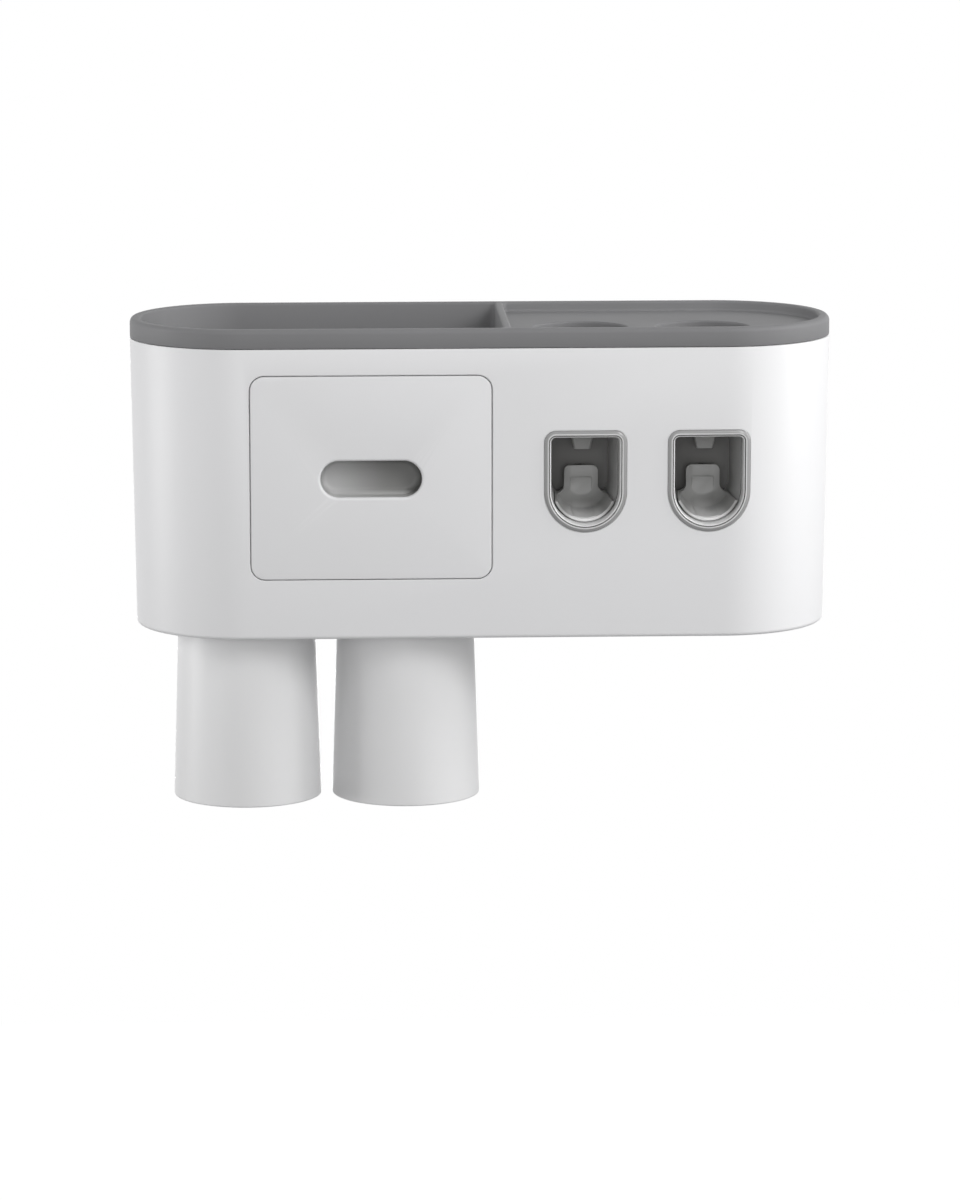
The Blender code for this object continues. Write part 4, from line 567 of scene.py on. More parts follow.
def makeSpringTree():  # a compression spring along z with its end curls drawn closer
    inputs = {
        "Start": "Geometry", "Radius": 0.01, "Wire Radius": 0.00045, "Turns": 5.0, "Length": 0.02,
        "Material": "Material",
    }
    tree, given, out = newGroup("coilSpring", "Geometry", inputs, grown)
    node, calc = partial(addNode, tree), partial(addMath, tree)
    wire = given["Wire Radius"]
    run = calc("SUBTRACT", given["Length"], calc("MULTIPLY", wire, 2.0))
    path = helix(tree, given["Radius"], given["Turns"], run, 40)
    point = node("ShaderNodeSeparateXYZ", {"Vector": node("GeometryNodeInputPosition").outputs[0]}).outputs
    span = {"Value": point["Z"], "From Max": run, "To Min": wire, "To Max": calc("ADD", run, wire)}
    eased = node("ShaderNodeMapRange", span, interpolation_type="SMOOTHSTEP").outputs["Result"]
    drawn = {"Geometry": path, "Position": addVector(tree, point["X"], point["Y"], eased)}
    coil = sweep(tree, node("GeometryNodeSetPosition", drawn).outputs[0], wire, 10)
    return endTree(tree, out, coil, given["Material"])


def makeNotchTree():  # cuts a row of equal notches in a plate
    inputs = {
        "Plate": "Geometry", "Cutter": "Object", "Count": 5, "Pitch": 0.0276, "Middle": 0.0,
        "Material": "Material",
    }
    tree, given, out = newGroup("notchRow", "Geometry", inputs, grown)
    node, calc = partial(addNode, tree), partial(addMath, tree)
    count, pitch = given["Count"], given["Pitch"]
    half = calc("MULTIPLY", calc("MULTIPLY", calc("SUBTRACT", count, 1.0), pitch), 0.5)
    first = calc("SUBTRACT", given["Middle"], half)
    line = {"Count": count, "Start Location": addVector(tree, first), "Offset": addVector(tree, pitch)}
    row = node("GeometryNodeMeshLine", line).outputs["Mesh"]
    shape = node("GeometryNodeObjectInfo", {"Object": given["Cutter"]}).outputs["Geometry"]
    placed = node("GeometryNodeInstanceOnPoints", {"Points": row, "Instance": shape})
    tools = node("GeometryNodeRealizeInstances", {"Geometry": placed.outputs[0]})
    cut = node("GeometryNodeMeshBoolean", {"Mesh 1": given["Plate"]}, operation="DIFFERENCE")
    tree.links.new(tools.outputs[0], cut.inputs["Mesh 2"])
    return endTree(tree, out, cut.outputs["Mesh"], given["Material"])


turnedShape, screwTree = makeTurnedShape(), makeScrewTree()
springTree, notchTree = makeSpringTree(), makeNotchTree()


def inputName(tree, name):
    sockets = tree.interface.items_tree
    return next(item.identifier for item in sockets if item.name == name and item.in_out == "INPUT")


def grow(name, tree, start, finishName, values):  # a plain mesh from a tree and its named inputs
    piece = newObject(name, newMesh(name, start))
    change = piece.modifiers.new("grow", "NODES")
    change.node_group = tree
    for key, value in {**values, "Material": finishes[finishName]}.items():
        change[inputName(tree, key)] = value
    settle(piece)
    shell = bmesh.new()
    shell.from_mesh(piece.data)
    bmesh.ops.recalc_face_normals(shell, faces=shell.faces)
    shell.to_mesh(piece.data)
    shell.free()
    return piece


def pointsMesh(points, turns=None):
    start = bmesh.new()
    layer = start.verts.layers.float_vector.new("turn") if turns else None
    for i, point in enumerate(points):
        vert = start.verts.new(point)
        if turns:
            vert[layer] = turns[i]
    return start


print("node trees made")

# Body outline, which the tub, the tray and all that seats on the front skin share

body = inMm({
    "width": 340.0, "depth": 113.0, "height": 150.0, "endRadius": 54.4, "rimHeight": 9.3, "draft": 1.84,
    "wall": 2.5, "seam": 0.3, "endSteps": 40, "overrun": 2.0, "sink": 0.4,
})
topZ = body["height"] / 2
baseZ = -topZ
past, seam, sink = body["overrun"], body["seam"], body["sink"]
tubTop = topZ - body["rimHeight"] - seam / 2
floorZ = baseZ + body["wall"]


def draftAt(z):
    return body["draft"] * max((tubTop - z) / (tubTop - baseZ), 0.0)


def bodyOutline(z, inset):
    narrow = draftAt(z)
    half = body["width"] / 2 - narrow - inset
    radius = body["endRadius"] - narrow / 2 - inset
    low, high = (-half, -body["depth"] + narrow + inset), (half, -inset)
    return cornered(low, high, (radius,) * 4, (body["endSteps"],) * 4)


def skinY(x, z):
    narrow = draftAt(z)
    radius = body["endRadius"] - narrow / 2
    beyond = max(abs(x) - (body["width"] / 2 - narrow - radius), 0.0)
    return -body["depth"] + narrow + radius - math.sqrt(radius**2 - beyond**2)


def onSkin(points, depth, middle=0.0):
    return [(x, skinY(x + middle, z) + depth, z) for x, z in points]


drawer = inMm({
    "x": -54.25, "z": 3.45, "width": 115.2, "height": 98.1, "corner": 6.8, "seam": 0.45,
    "thick": 2.4, "edge": 0.5,
    "slotWidth": 48.6, "slotHeight": 17.6, "slotDrop": 0.55, "slotLip": 1.3, "slotDepth": 11.5, "slotWall": 1.5,
    "slotRound": 3.2, "postSpread": 42.0, "postRadius": 2.9,
})
slotZ = drawer["z"] - drawer["slotDrop"]
postPlaces = [drawer["x"] + side * drawer["postSpread"] for side in (-1, 1)]


def panelOutline(extra):
    half = (drawer["width"] / 2 + extra, drawer["height"] / 2 + extra)
    return rounded(*half, drawer["corner"] + extra, (drawer["x"], drawer["z"]), 12)


squeezer = inMm({
    "x": (48.3, 107.6), "half": 19.7, "centre": -3.7, "rise": 29.3, "corner": 5.5, "leastCorner": 0.5,
    "collar": 2.0, "recess": 0.8, "steps": 48,
})
windowTop = squeezer["centre"] + squeezer["rise"]
squeezers = list(zip(squeezer["x"], ("left", "right")))


def windowOutline(inset):
    half = squeezer["half"] - inset
    top = windowTop - inset
    radius = max(squeezer["corner"] - inset, squeezer["leastCorner"])
    points = arcPoints((0.0, squeezer["centre"]), half, 2 * quarterTurn, 4 * quarterTurn, squeezer["steps"])
    points += arcPoints((half - radius, top - radius), radius, 0.0, quarterTurn, 8)
    return points + arcPoints((radius - half, top - radius), radius, quarterTurn, 2 * quarterTurn, 8)


# White tub

tub = inMm({
    "foot": 1.95, "lip": 0.35, "openingEdge": 0.3, "hangerX": 85.0, "hangerZ": 20.0, "hangerSize": 60.0,
    "hangerCorner": 6.0, "hangerReach": 2.9, "pocketFloor": 2.5, "pocketGap": 2.0, "keyhole": 6.6,
    "keyholeNeck": 3.3, "keyholeTop": 22.0, "keyholeDrop": 10.0, "screwHead": 3.3, "screwHole": 1.6,
    "screwSink": 1.3, "pilot": 1.45, "screwLength": 9.0, "screwHeadThick": 1.1, "magnetBore": 14.3,
    "magnetRing": 16.1, "magnetRise": 5.2, "bayScrewFront": -92.0, "bayScrewBack": -32.0,
})
cups = inMm({"x": (-114.7, -37.0), "y": -61.7})
rack = inMm({
    "x": 80.0, "pitch": 27.6, "count": 5, "margin": 15.3, "gap": 0.45, "back": 40.4, "wall": 1.6, "nose": 40.0,
    "corner": 6.0, "ledge": 4.0, "ledgeBack": 10.0, "thick": 3.0, "notchDepth": 17.0, "notchWidth": 7.0,
    "notchY": -71.0, "finger": 2.4, "screwSpread": 50.0, "edge": 0.4,
})
rackHalf = rack["margin"] + rack["pitch"] * (rack["count"] - 1) / 2
rackLeft, rackRight = rack["x"] - rackHalf, rack["x"] + rackHalf
rackFront = body["depth"] - body["draft"] - body["wall"] - rack["gap"]


def floorOpening():
    step = rack["wall"] + rack["ledge"]
    low = (rackLeft + step, step - rackFront)
    high = (rackRight - step, -rack["back"] - rack["wall"] - rack["ledgeBack"])
    corner = rack["corner"]
    return cornered(low, high, (corner, rack["nose"] - step, corner, corner), (8, 32, 8, 8))


def floorScrewPlaces():
    bayX = sum(cups["x"]) / 2
    rackY = -rack["back"] - rack["wall"] - rack["ledgeBack"] / 2
    places = [(bayX, tub["bayScrewFront"]), (bayX, tub["bayScrewBack"])]
    return places + [(rack["x"] + side * rack["screwSpread"], rackY) for side in (-1, 1)]


def hangerOutline(side, extra):
    half = tub["hangerSize"] / 2 + extra
    return rounded(half, half, tub["hangerCorner"], (side * tub["hangerX"], tub["hangerZ"]))


def keyholeOutline(side):
    x = side * tub["hangerX"]
    top, low = tub["keyholeTop"], tub["keyholeTop"] - tub["keyholeDrop"]
    spread = math.asin(tub["keyholeNeck"] / tub["keyhole"])
    points = arcPoints((x, top), tub["keyholeNeck"], 0.0, 2 * quarterTurn, 12)
    return points + arcPoints((x, low), tub["keyhole"], quarterTurn + spread, 5 * quarterTurn - spread, 32)


def makeTub():
    lip, wall = tub["lip"], body["wall"]
    loops = [onZ(bodyOutline(baseZ + rise, inset), baseZ + rise) for inset, rise in roundEdge(tub["foot"], 8)]
    loops += [onZ(bodyOutline(tubTop, inset), tubTop - rise) for inset, rise in roundBack(lip, 3)]
    loops += [onZ(bodyOutline(z, wall), z) for z in (tubTop, floorZ)]
    piece = asPiece("whiteTub", loftMesh(loops))
    pocketBack = -tub["hangerReach"] - tub["pocketFloor"]
    backing = [hangerOutline(side, 2 * tub["pocketGap"]) for side in (-1, 1)]
    plates = [slabAlongY(outline, pocketBack, sink - wall) for outline in backing]
    low, high = floorZ - sink, floorZ + tub["magnetRise"]
    outer, bore = tub["magnetRing"], tub["magnetBore"]
    ring = [(outer, low), (outer, high), (bore, high), (bore, low)]
    plates += [turnedMesh(ring, 64, ring=True, centre=(x, cups["y"], 0.0)) for x in cups["x"]]
    boss, back = cavity["bossRadius"], housingFront + cavity["earBack"]
    for x in earPlaces:
        front = skinY(abs(x) + boss, 0.0) + sink
        plates.append(rodAlongY(boss, front, back - seam - front, x, 0.0, 32))
    fuse(piece, gather(*plates))
    edge, opening, through = tub["openingEdge"], drawer["seam"], wall + past
    mouth = [(opening + edge, -past)]
    mouth += [(opening + edge - rise, edge - inset) for inset, rise in roundEdge(edge, 3)]
    mouth.append((opening, through))
    tools = [loftMesh([onSkin(panelOutline(extra), depth) for extra, depth in mouth])]
    wide, narrow = windowOutline(-seam), windowOutline(squeezer["collar"] - seam)
    recess = squeezer["recess"]
    steps = [(wide, -past), (wide, recess), (narrow, recess), (narrow, through)]
    for x in squeezer["x"]:
        tools.append(shifted(loftMesh([onSkin(points, depth, x) for points, depth in steps]), x))
    tools += [slabAlongY(hangerOutline(side, tub["pocketGap"]), -tub["hangerReach"], past) for side in (-1, 1)]
    tools.append(slab(floorOpening(), baseZ - past, floorZ + past))
    sinkZ = baseZ + tub["screwSink"]
    hole = [(tub["screwHead"], baseZ - past), (tub["screwHead"], sinkZ)]
    hole += [(tub["screwHole"], sinkZ), (tub["screwHole"], floorZ + past)]
    tools += [turnedMesh(hole, 24, centre=(x, y, 0.0)) for x, y in floorScrewPlaces()]
    carve(piece, gather(*tools))
    pocketFace = sink - tub["hangerReach"]
    keyholes = [slabAlongY(keyholeOutline(side), pocketBack - past, pocketFace) for side in (-1, 1)]
    start = back + cavity["earThick"] + tub["screwHeadThick"] - tub["screwLength"]
    pilots = [rodAlongY(tub["pilot"], start, tub["screwLength"], x, 0.0) for x in earPlaces]
    carve(piece, gather(*keyholes, *pilots))
    seat(piece, "body", "tubWhite", "white_plastic", "main_shell")


# Gray tray

tray = inMm({
    "land": 5.3, "edge": 2.35, "innerEdge": 1.2, "floorEdge": 1.6, "footEdge": 0.3, "binDepth": 16.5,
    "shelfDepth": 5.0, "dividerX": 11.2, "dividerWidth": 3.8, "dividerCorner": 3.0, "wall": 1.8, "skirt": 4.5,
    "well": 22.5, "collar": 9.0, "wellY": -67.0,
})
trayLow = topZ - body["rimHeight"] + seam / 2
shelfZ = topZ - tray["shelfDepth"]
binZ = topZ - tray["binDepth"]


def pocketOutline(side, extra):  # side -1 is the bin, 1 the shelf
    edge = tray["land"] - extra
    half = body["width"] / 2 - edge
    end, corner = body["endRadius"] - edge, tray["dividerCorner"] + extra
    inner = tray["dividerX"] + side * (tray["dividerWidth"] / 2 - extra)
    front, back = edge - body["depth"], -edge
    if side < 0:
        return cornered((-half, front), (inner, back), (end, corner, corner, end), (40, 8, 8, 40))
    return cornered((inner, front), (half, back), (corner, end, end, corner), (8, 40, 40, 8))


def pocketTool(side, z):
    loops = [onZ(pocketOutline(side, -inset), z + rise) for inset, rise in roundEdge(tray["floorEdge"])]
    loops += [onZ(pocketOutline(side, inset), topZ - rise) for inset, rise in roundBack(tray["innerEdge"])]
    return loftMesh(loops + [onZ(pocketOutline(side, tray["innerEdge"]), topZ + past)])


def wellTool(x):
    edge = tray["innerEdge"]
    profile = [(tray["well"], shelfZ - tray["collar"] - past)]
    profile += [(tray["well"] + inset, shelfZ - rise) for inset, rise in roundBack(edge)]
    return turnedMesh(profile + [(tray["well"] + edge, shelfZ + past)], 96, centre=(x, tray["wellY"], 0.0))


def makeTray():
    wall, skirtZ = tray["wall"], trayLow - tray["skirt"]
    loops = [onZ(bodyOutline(topZ, inset), trayLow + rise) for inset, rise in roundEdge(tray["footEdge"], 2)]
    loops += [onZ(bodyOutline(topZ, inset), topZ - rise) for inset, rise in roundBack(tray["edge"], 8)]
    piece = asPiece("grayTray", loftMesh(loops))
    fuse(piece, slab(pocketOutline(-1, wall), binZ - wall, trayLow + sink))
    fuse(piece, slab(pocketOutline(1, wall), skirtZ, trayLow + sink))
    carve(piece, pocketTool(-1, binZ))
    carve(piece, pocketTool(1, shelfZ))
    carve(piece, slab(pocketOutline(1, 0.0), skirtZ - past, shelfZ - wall))
    collar = (tray["well"] + wall, shelfZ - tray["collar"], shelfZ - sink)
    fuse(piece, gather(*[rodMesh(*collar, x, tray["wellY"], 96) for x in squeezer["x"]]))
    carve(piece, gather(*[wellTool(x) for x in squeezer["x"]]))
    seat(piece, "tray", "trayGray", "gray_plastic", "top_tray")


makeTray()
print("tray made")

# Drawer front


def slotOutline(extra):
    half = drawer["slotHeight"] / 2 + extra
    return rounded(drawer["slotWidth"] / 2 + extra, half, half, (drawer["x"], slotZ), 16)


def postRods(radius, start, length):
    return [rodAlongY(radius, start, length, x, slotZ) for x in postPlaces]


def inSlot(face):  # the lip stays white, the cup behind it gets painted shade
    x, y, z = face.center
    wall, depth = drawer["slotWall"], y - skinY(x, z)
    halfX, halfZ = drawer["slotWidth"] / 2 + wall / 4, drawer["slotHeight"] / 2 + wall / 4
    within = abs(x - drawer["x"]) < halfX and abs(z - slotZ) < halfZ
    return within and face.normal.y < 0.2 and drawer["slotLip"] * 0.9 < depth < drawer["slotDepth"] + wall / 2


def makeDrawerFront():
    thick, lip = drawer["thick"], drawer["slotLip"]
    loops = [onSkin(panelOutline(0.0), thick)]
    loops += [onSkin(panelOutline(-inset), rise) for inset, rise in roundBack(drawer["edge"], 4)]
    piece = asPiece("drawerPanel", loftMesh(loops))
    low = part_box("drawer_front")[1][1]  # the posts' back end
    start = -body["depth"] + draftAt(drawer["z"]) + thick - sink
    wall, bend, deep = drawer["slotWall"], drawer["slotRound"], drawer["slotDepth"]
    cup = [onSkin(slotOutline(wall - inset), deep + wall - rise) for inset, rise in roundEdge(bend + wall, 10)]
    cup.append(onSkin(slotOutline(wall), thick - sink))
    fuse(piece, gather(loftMesh(cup), *postRods(drawer["postRadius"], start, low - start)))
    slot = [onSkin(slotOutline(-inset), deep - rise) for inset, rise in roundEdge(bend, 10)]
    slot += [onSkin(slotOutline(inset), rise) for inset, rise in roundBack(lip, 6)]
    slot.append(onSkin(slotOutline(lip), -past))
    carve(piece, gather(loftMesh(slot), *postRods(tub["pilot"], start + sink + seam, low - start)))
    for finishName in ("tubWhite", "slotPaintedShade"):
        piece.data.materials.append(finishes[finishName])
    for face in piece.data.polygons:
        face.material_index = 1 if inSlot(face) else 0
    seat(piece, "drawer", "tubWhite", "white_plastic", "drawer_front")


# Drawer box behind the front

box = inMm({
    "margin": 2.6, "topDrop": 12.0, "back": 20.8, "corner": 4.0, "wall": 1.8, "footEdge": 1.2, "rimEdge": 0.5,
    "fillet": 2.2, "leastCorner": 0.6,
})


def boxOutline(inset):
    half = drawer["width"] / 2 - box["margin"]
    corner = max(box["corner"] - inset, box["leastCorner"])
    left, foot = drawer["x"] - drawer["width"] / 2, drawer["z"] - drawer["height"] / 2
    front = skinY(left, foot) + drawer["thick"] + seam
    low, high = (drawer["x"] - half + inset, front + inset), (drawer["x"] + half - inset, -box["back"] - inset)
    return cornered(low, high, (corner,) * 4, (10,) * 4)


def makeDrawerBox():
    low = drawer["z"] - drawer["height"] / 2 + box["margin"]
    high, wall, rim = drawer["z"] + drawer["height"] / 2 - box["topDrop"], box["wall"], box["rimEdge"]
    loops = [onZ(boxOutline(inset), low + rise) for inset, rise in roundEdge(box["footEdge"])]
    loops += [onZ(boxOutline(inset), high - rise) for inset, rise in roundBack(rim, 4)]
    loops += [onZ(boxOutline(wall - inset), high - rise) for inset, rise in roundEdge(rim, 4)]
    loops += [onZ(boxOutline(wall + inset), low + wall + rise) for inset, rise in roundBack(box["fillet"], 8)]
    piece = asPiece("drawerTub", loftMesh(loops))
    front = min(y for x, y in boxOutline(0.0))
    hole = slabAlongY(slotOutline(drawer["slotWall"] + seam), front - past, front + wall + past)
    carve(piece, gather(hole, *postRods(drawer["postRadius"] + seam, front - past, wall + 2 * past)))
    seat(piece, "drawer", "insideWhite", "white_plastic", "drawer_box")


makeDrawerFront()
makeDrawerBox()
print("drawer made")

# Squeezers, built round x = 0 and moved to their own x

bezel = inMm({
    "proud": 1.0, "edge": 0.35, "bevel": 1.5, "ridge": 0.6, "groove": 0.45, "lip": 0.75, "back": 7.5,
})
cavity = inMm({
    "mouth": 3.7, "back": 5.8, "depth": 51.5, "mouthDepth": 5.0, "wall": 1.8, "earBack": 7.0, "earHalf": 4.6,
    "earThick": 2.0, "bossRadius": 4.0, "tubeRadius": 12.7, "tubeWall": 1.8, "tubeLength": 27.0,
})
outlet = inMm({
    "y": -81.0, "tipDrop": 12.9, "topDrop": 5.7, "tipHalf": 4.05, "taper": 1.4, "corner": 1.1, "spigot": 4.0,
    "bore": 2.9, "passageRise": 2.4, "passageRadius": 2.2, "tipEdge": 0.5,
})
inlet = inMm({
    "half": 10.0, "rise": 11.4, "nose": 7.0, "tail": 15.0, "socketDepth": 4.5, "socketRadius": 7.0,
    "valveSeat": 2.1, "valveRadius": 3.9, "pipeRadius": 3.5,
})
paddle = inMm({
    "depth": 38.5, "thick": 2.0, "tabHalf": 8.15, "tabRise": 7.0, "tabCorner": 2.6, "flareDrop": 2.2,
    "flareRadius": 3.6, "scoopRadius": 9.0, "scoopWall": 1.2, "scoopDepth": 6.7, "gap": 0.75, "padHalf": 5.3,
    "padDrop": 5.6, "padHeight": 8.9, "padRaise": 0.5, "padCorner": 0.6, "stripRaise": 0.25, "edge": 0.3,
    "rodRise": 1.7, "rodRadius": 3.9, "rodGap": 0.4, "rodEnd": 0.2, "tipRadius": 3.0, "tipLength": 2.2,
})
centreZ = squeezer["centre"]
housingFront = skinY(max(squeezer["x"]) + squeezer["half"], centreZ - squeezer["half"]) + body["wall"] + seam
cavityFront = housingFront + cavity["mouthDepth"]
cavityBack = cavity["depth"] - body["depth"]
pumpFront = cavityBack + cavity["wall"]
rodZ = centreZ + paddle["rodRise"]
passageZ = windowTop + outlet["passageRise"]
socketTop = windowTop + inlet["rise"]
nozzleTipZ = windowTop - outlet["tipDrop"]
nozzleTopZ = windowTop - outlet["topDrop"]
earX = squeezer["half"] - squeezer["collar"] + 2 * seam + cavity["wall"] + cavity["bossRadius"]
earPlaces = [x + side * earX for x in squeezer["x"] for side in (-1, 1)]


def shifted(made, x):
    bmesh.ops.translate(made, verts=made.verts, vec=(x, 0.0, 0.0))
    return made


def movePiece(piece, x):
    piece.data.transform(Matrix.Translation((x, 0.0, 0.0)))


makeTub()
print("tub made")


def bezelProfile():  # (inset, depth) of each corner, from the outer foot over the front and back again
    ridge = bezel["bevel"] + bezel["ridge"]
    lip = ridge + bezel["groove"]
    inner = lip + bezel["lip"]
    proud, foot = bezel["proud"], squeezer["recess"] - seam
    return [
        (0.0, foot),
        (0.0, -bezel["edge"]),
        (0.25 * mm, -bezel["edge"] - 0.22 * mm),
        (bezel["bevel"] - 0.35 * mm, -proud + 0.08 * mm),
        (bezel["bevel"], -proud),
        (ridge - 0.12 * mm, -proud),
        (ridge, -proud + 0.12 * mm),
        (ridge, -proud + bezel["groove"]),
        (lip - 0.05 * mm, -proud + bezel["groove"]),
        (lip + 0.1 * mm, -proud + bezel["groove"] - 0.12 * mm),
        (lip + 0.35 * mm, -proud + bezel["groove"] + 0.05 * mm),
        (inner - 0.1 * mm, bezel["lip"] - 0.5 * mm),
        (inner, bezel["lip"]),
        (inner + seam, bezel["back"]),
        (squeezer["collar"], bezel["back"]),
        (squeezer["collar"], foot),
    ]


def makeBezel(x, word):
    loops = [onSkin(windowOutline(inset), depth, x) for inset, depth in bezelProfile()]
    piece = asPiece(f"bezelRing_{word}", shifted(loftMesh(loops, ring=True), x))
    # bands of one ring: painted highlight on the ridge, painted shadow in the groove, painted light on the lip
    # and inner wall
    bandRows = {
        "bezelGloss": range(4), "bezelPaintedHighlight": (4, 5), "bezelPaintedShadow": (6, 7, 8), "bezelPaintedLight": (9, 10, 11, 12),
    }
    for finishName in bandRows:
        piece.data.materials.append(finishes[finishName])
    for i, face in enumerate(piece.data.polygons):
        for band, rows in enumerate(bandRows.values()):
            if i // len(loops[0]) in rows:
                face.material_index = band
    seat(piece, "body", "bezelGloss", "bezel_gloss", f"bezel_{word}", angle=35.0)


def makeHousing(x, word):
    wall, collar = cavity["wall"], squeezer["collar"] - seam
    sections = [(cavity["back"] - wall, pumpFront), (collar - wall, cavityFront), (collar - wall, housingFront)]
    sections += [(collar, housingFront), (collar, cavityFront), (cavity["mouth"], cavityFront)]
    sections.append((cavity["back"], cavityBack))
    piece = asPiece(f"pumpHousing_{word}", loftMesh([onY(windowOutline(inset), y) for inset, y in sections]))
    earHalf = cavity["earHalf"]
    ears = cornered((-earX - earHalf, -earHalf), (earX + earHalf, earHalf), (earHalf,) * 4, (10,) * 4)
    earFront = housingFront + cavity["earBack"]
    fuse(piece, slabAlongY(ears, earFront, earFront + cavity["earThick"]))
    outer, bore, length = cavity["tubeRadius"] + cavity["tubeWall"], cavity["tubeRadius"], cavity["tubeLength"]
    tube = [(outer, -wall / 2), (outer, length), (bore, length), (bore, -wall / 2)]
    fuse(piece, turnedMesh(tube, 64, ring=True, alongY=True, centre=(0.0, pumpFront, rodZ)))
    back = tray["wellY"] + inlet["tail"]
    low, high = (-inlet["half"], outlet["y"] - inlet["nose"]), (inlet["half"], back)
    block = cornered(low, high, (outlet["corner"],) * 4, (4,) * 4)
    fuse(piece, slab(block, windowTop - cavity["mouth"] + wall / 2, socketTop))
    rim = cavity["mouth"]
    core = [(rim, housingFront - past), (rim, cavityFront), (cavity["back"], cavityBack)]
    carve(piece, loftMesh([onY(windowOutline(inset), y) for inset, y in core]))
    socketFloor = socketTop - inlet["socketDepth"]
    valveFloor = socketFloor - inlet["valveSeat"]
    narrow, seatRadius, socket = outlet["passageRadius"], inlet["valveRadius"] + seam, inlet["socketRadius"]
    profile = [(narrow, passageZ), (narrow, valveFloor), (seatRadius, valveFloor), (seatRadius, socketFloor)]
    profile += [(socket, socketFloor), (socket, socketTop + past)]
    carve(piece, turnedMesh(profile, 48, centre=(0.0, tray["wellY"], 0.0)))
    mouth, wide = back - inlet["pipeRadius"] - past, inlet["pipeRadius"] + seam
    passage = [(narrow, outlet["y"]), (narrow, mouth), (wide, mouth), (wide, back + past)]
    carve(piece, turnedMesh(passage, 32, alongY=True, centre=(0.0, 0.0, passageZ)))
    holes = [
        rodMesh(outlet["spigot"] + seam, nozzleTipZ, passageZ, 0.0, outlet["y"], 32),
        rodAlongY(paddle["rodRadius"] + paddle["rodGap"], cavityBack - past, wall + 2 * past, 0.0, rodZ, 32),
    ]
    span = cavity["earThick"] + 2 * past
    holes += [rodAlongY(tub["screwHole"], earFront - past, span, side * earX, 0.0) for side in (-1, 1)]
    carve(piece, gather(*holes))
    movePiece(piece, x)
    seat(piece, "body", "cavityPaintedShading", "dark_plastic", f"housing_{word}")


def makeNozzle(x, word):
    tip, top, corner = outlet["tipHalf"], outlet["tipHalf"] + outlet["taper"], outlet["corner"]
    centre = (0.0, outlet["y"])
    rows = [(tip - inset, nozzleTipZ + rise) for inset, rise in roundEdge(outlet["tipEdge"], 4)]
    loops = [onZ(rounded(half, half, corner, centre), z) for half, z in rows + [(top, nozzleTopZ)]]
    piece = asPiece(f"nozzleTip_{word}", loftMesh(loops))
    spigotTop = passageZ - outlet["passageRadius"]
    fuse(piece, rodMesh(outlet["spigot"], nozzleTopZ - sink, spigotTop, *centre, 32))
    carve(piece, rodMesh(outlet["bore"], nozzleTipZ - past, spigotTop + past, *centre, 32))
    movePiece(piece, x)
    seat(piece, "body", "paddleGray", "paddle_plastic", f"nozzle_{word}")


def paddleRadius(y):
    share = (y - cavityFront) / (cavityBack - cavityFront)
    return squeezer["half"] - cavity["mouth"] - (cavity["back"] - cavity["mouth"]) * share - paddle["gap"]


def paddleOutline(radius):
    half, top = paddle["tabHalf"], centreZ + paddle["tabRise"]
    flare, flareZ, corner = paddle["flareRadius"], centreZ - paddle["flareDrop"], paddle["tabCorner"]
    start = math.asin((flareZ - flare - centreZ) / radius)
    points = arcPoints((0.0, centreZ), radius, -2 * quarterTurn - start, start, squeezer["steps"])
    points += arcPoints((half + flare, flareZ), flare, -quarterTurn, -2 * quarterTurn, 10)
    points += arcPoints((half - corner, top - corner), corner, 0.0, quarterTurn, 8)
    points += arcPoints((corner - half, top - corner), corner, quarterTurn, 2 * quarterTurn, 8)
    return points + arcPoints((-half - flare, flareZ), flare, 0.0, -quarterTurn, 10)


def scoopStrip(sections):  # a raised strip that follows the inside of the scoop
    reach, lift = paddle["padHalf"], paddle["stripRaise"]
    strip = []
    for radius, y in sections:
        if radius > paddle["padDrop"] + paddle["padHeight"] / 4:
            low, high = radius - lift, radius + lift
            inner, outer = math.asin(reach / low), math.asin(reach / high)
            points = arcPoints((0.0, centreZ), low, -inner - quarterTurn, inner - quarterTurn, 8)
            points += arcPoints((0.0, centreZ), high, outer - quarterTurn, -outer - quarterTurn, 8)
            strip.append(onY(points, y))
    return loftMesh(strip)


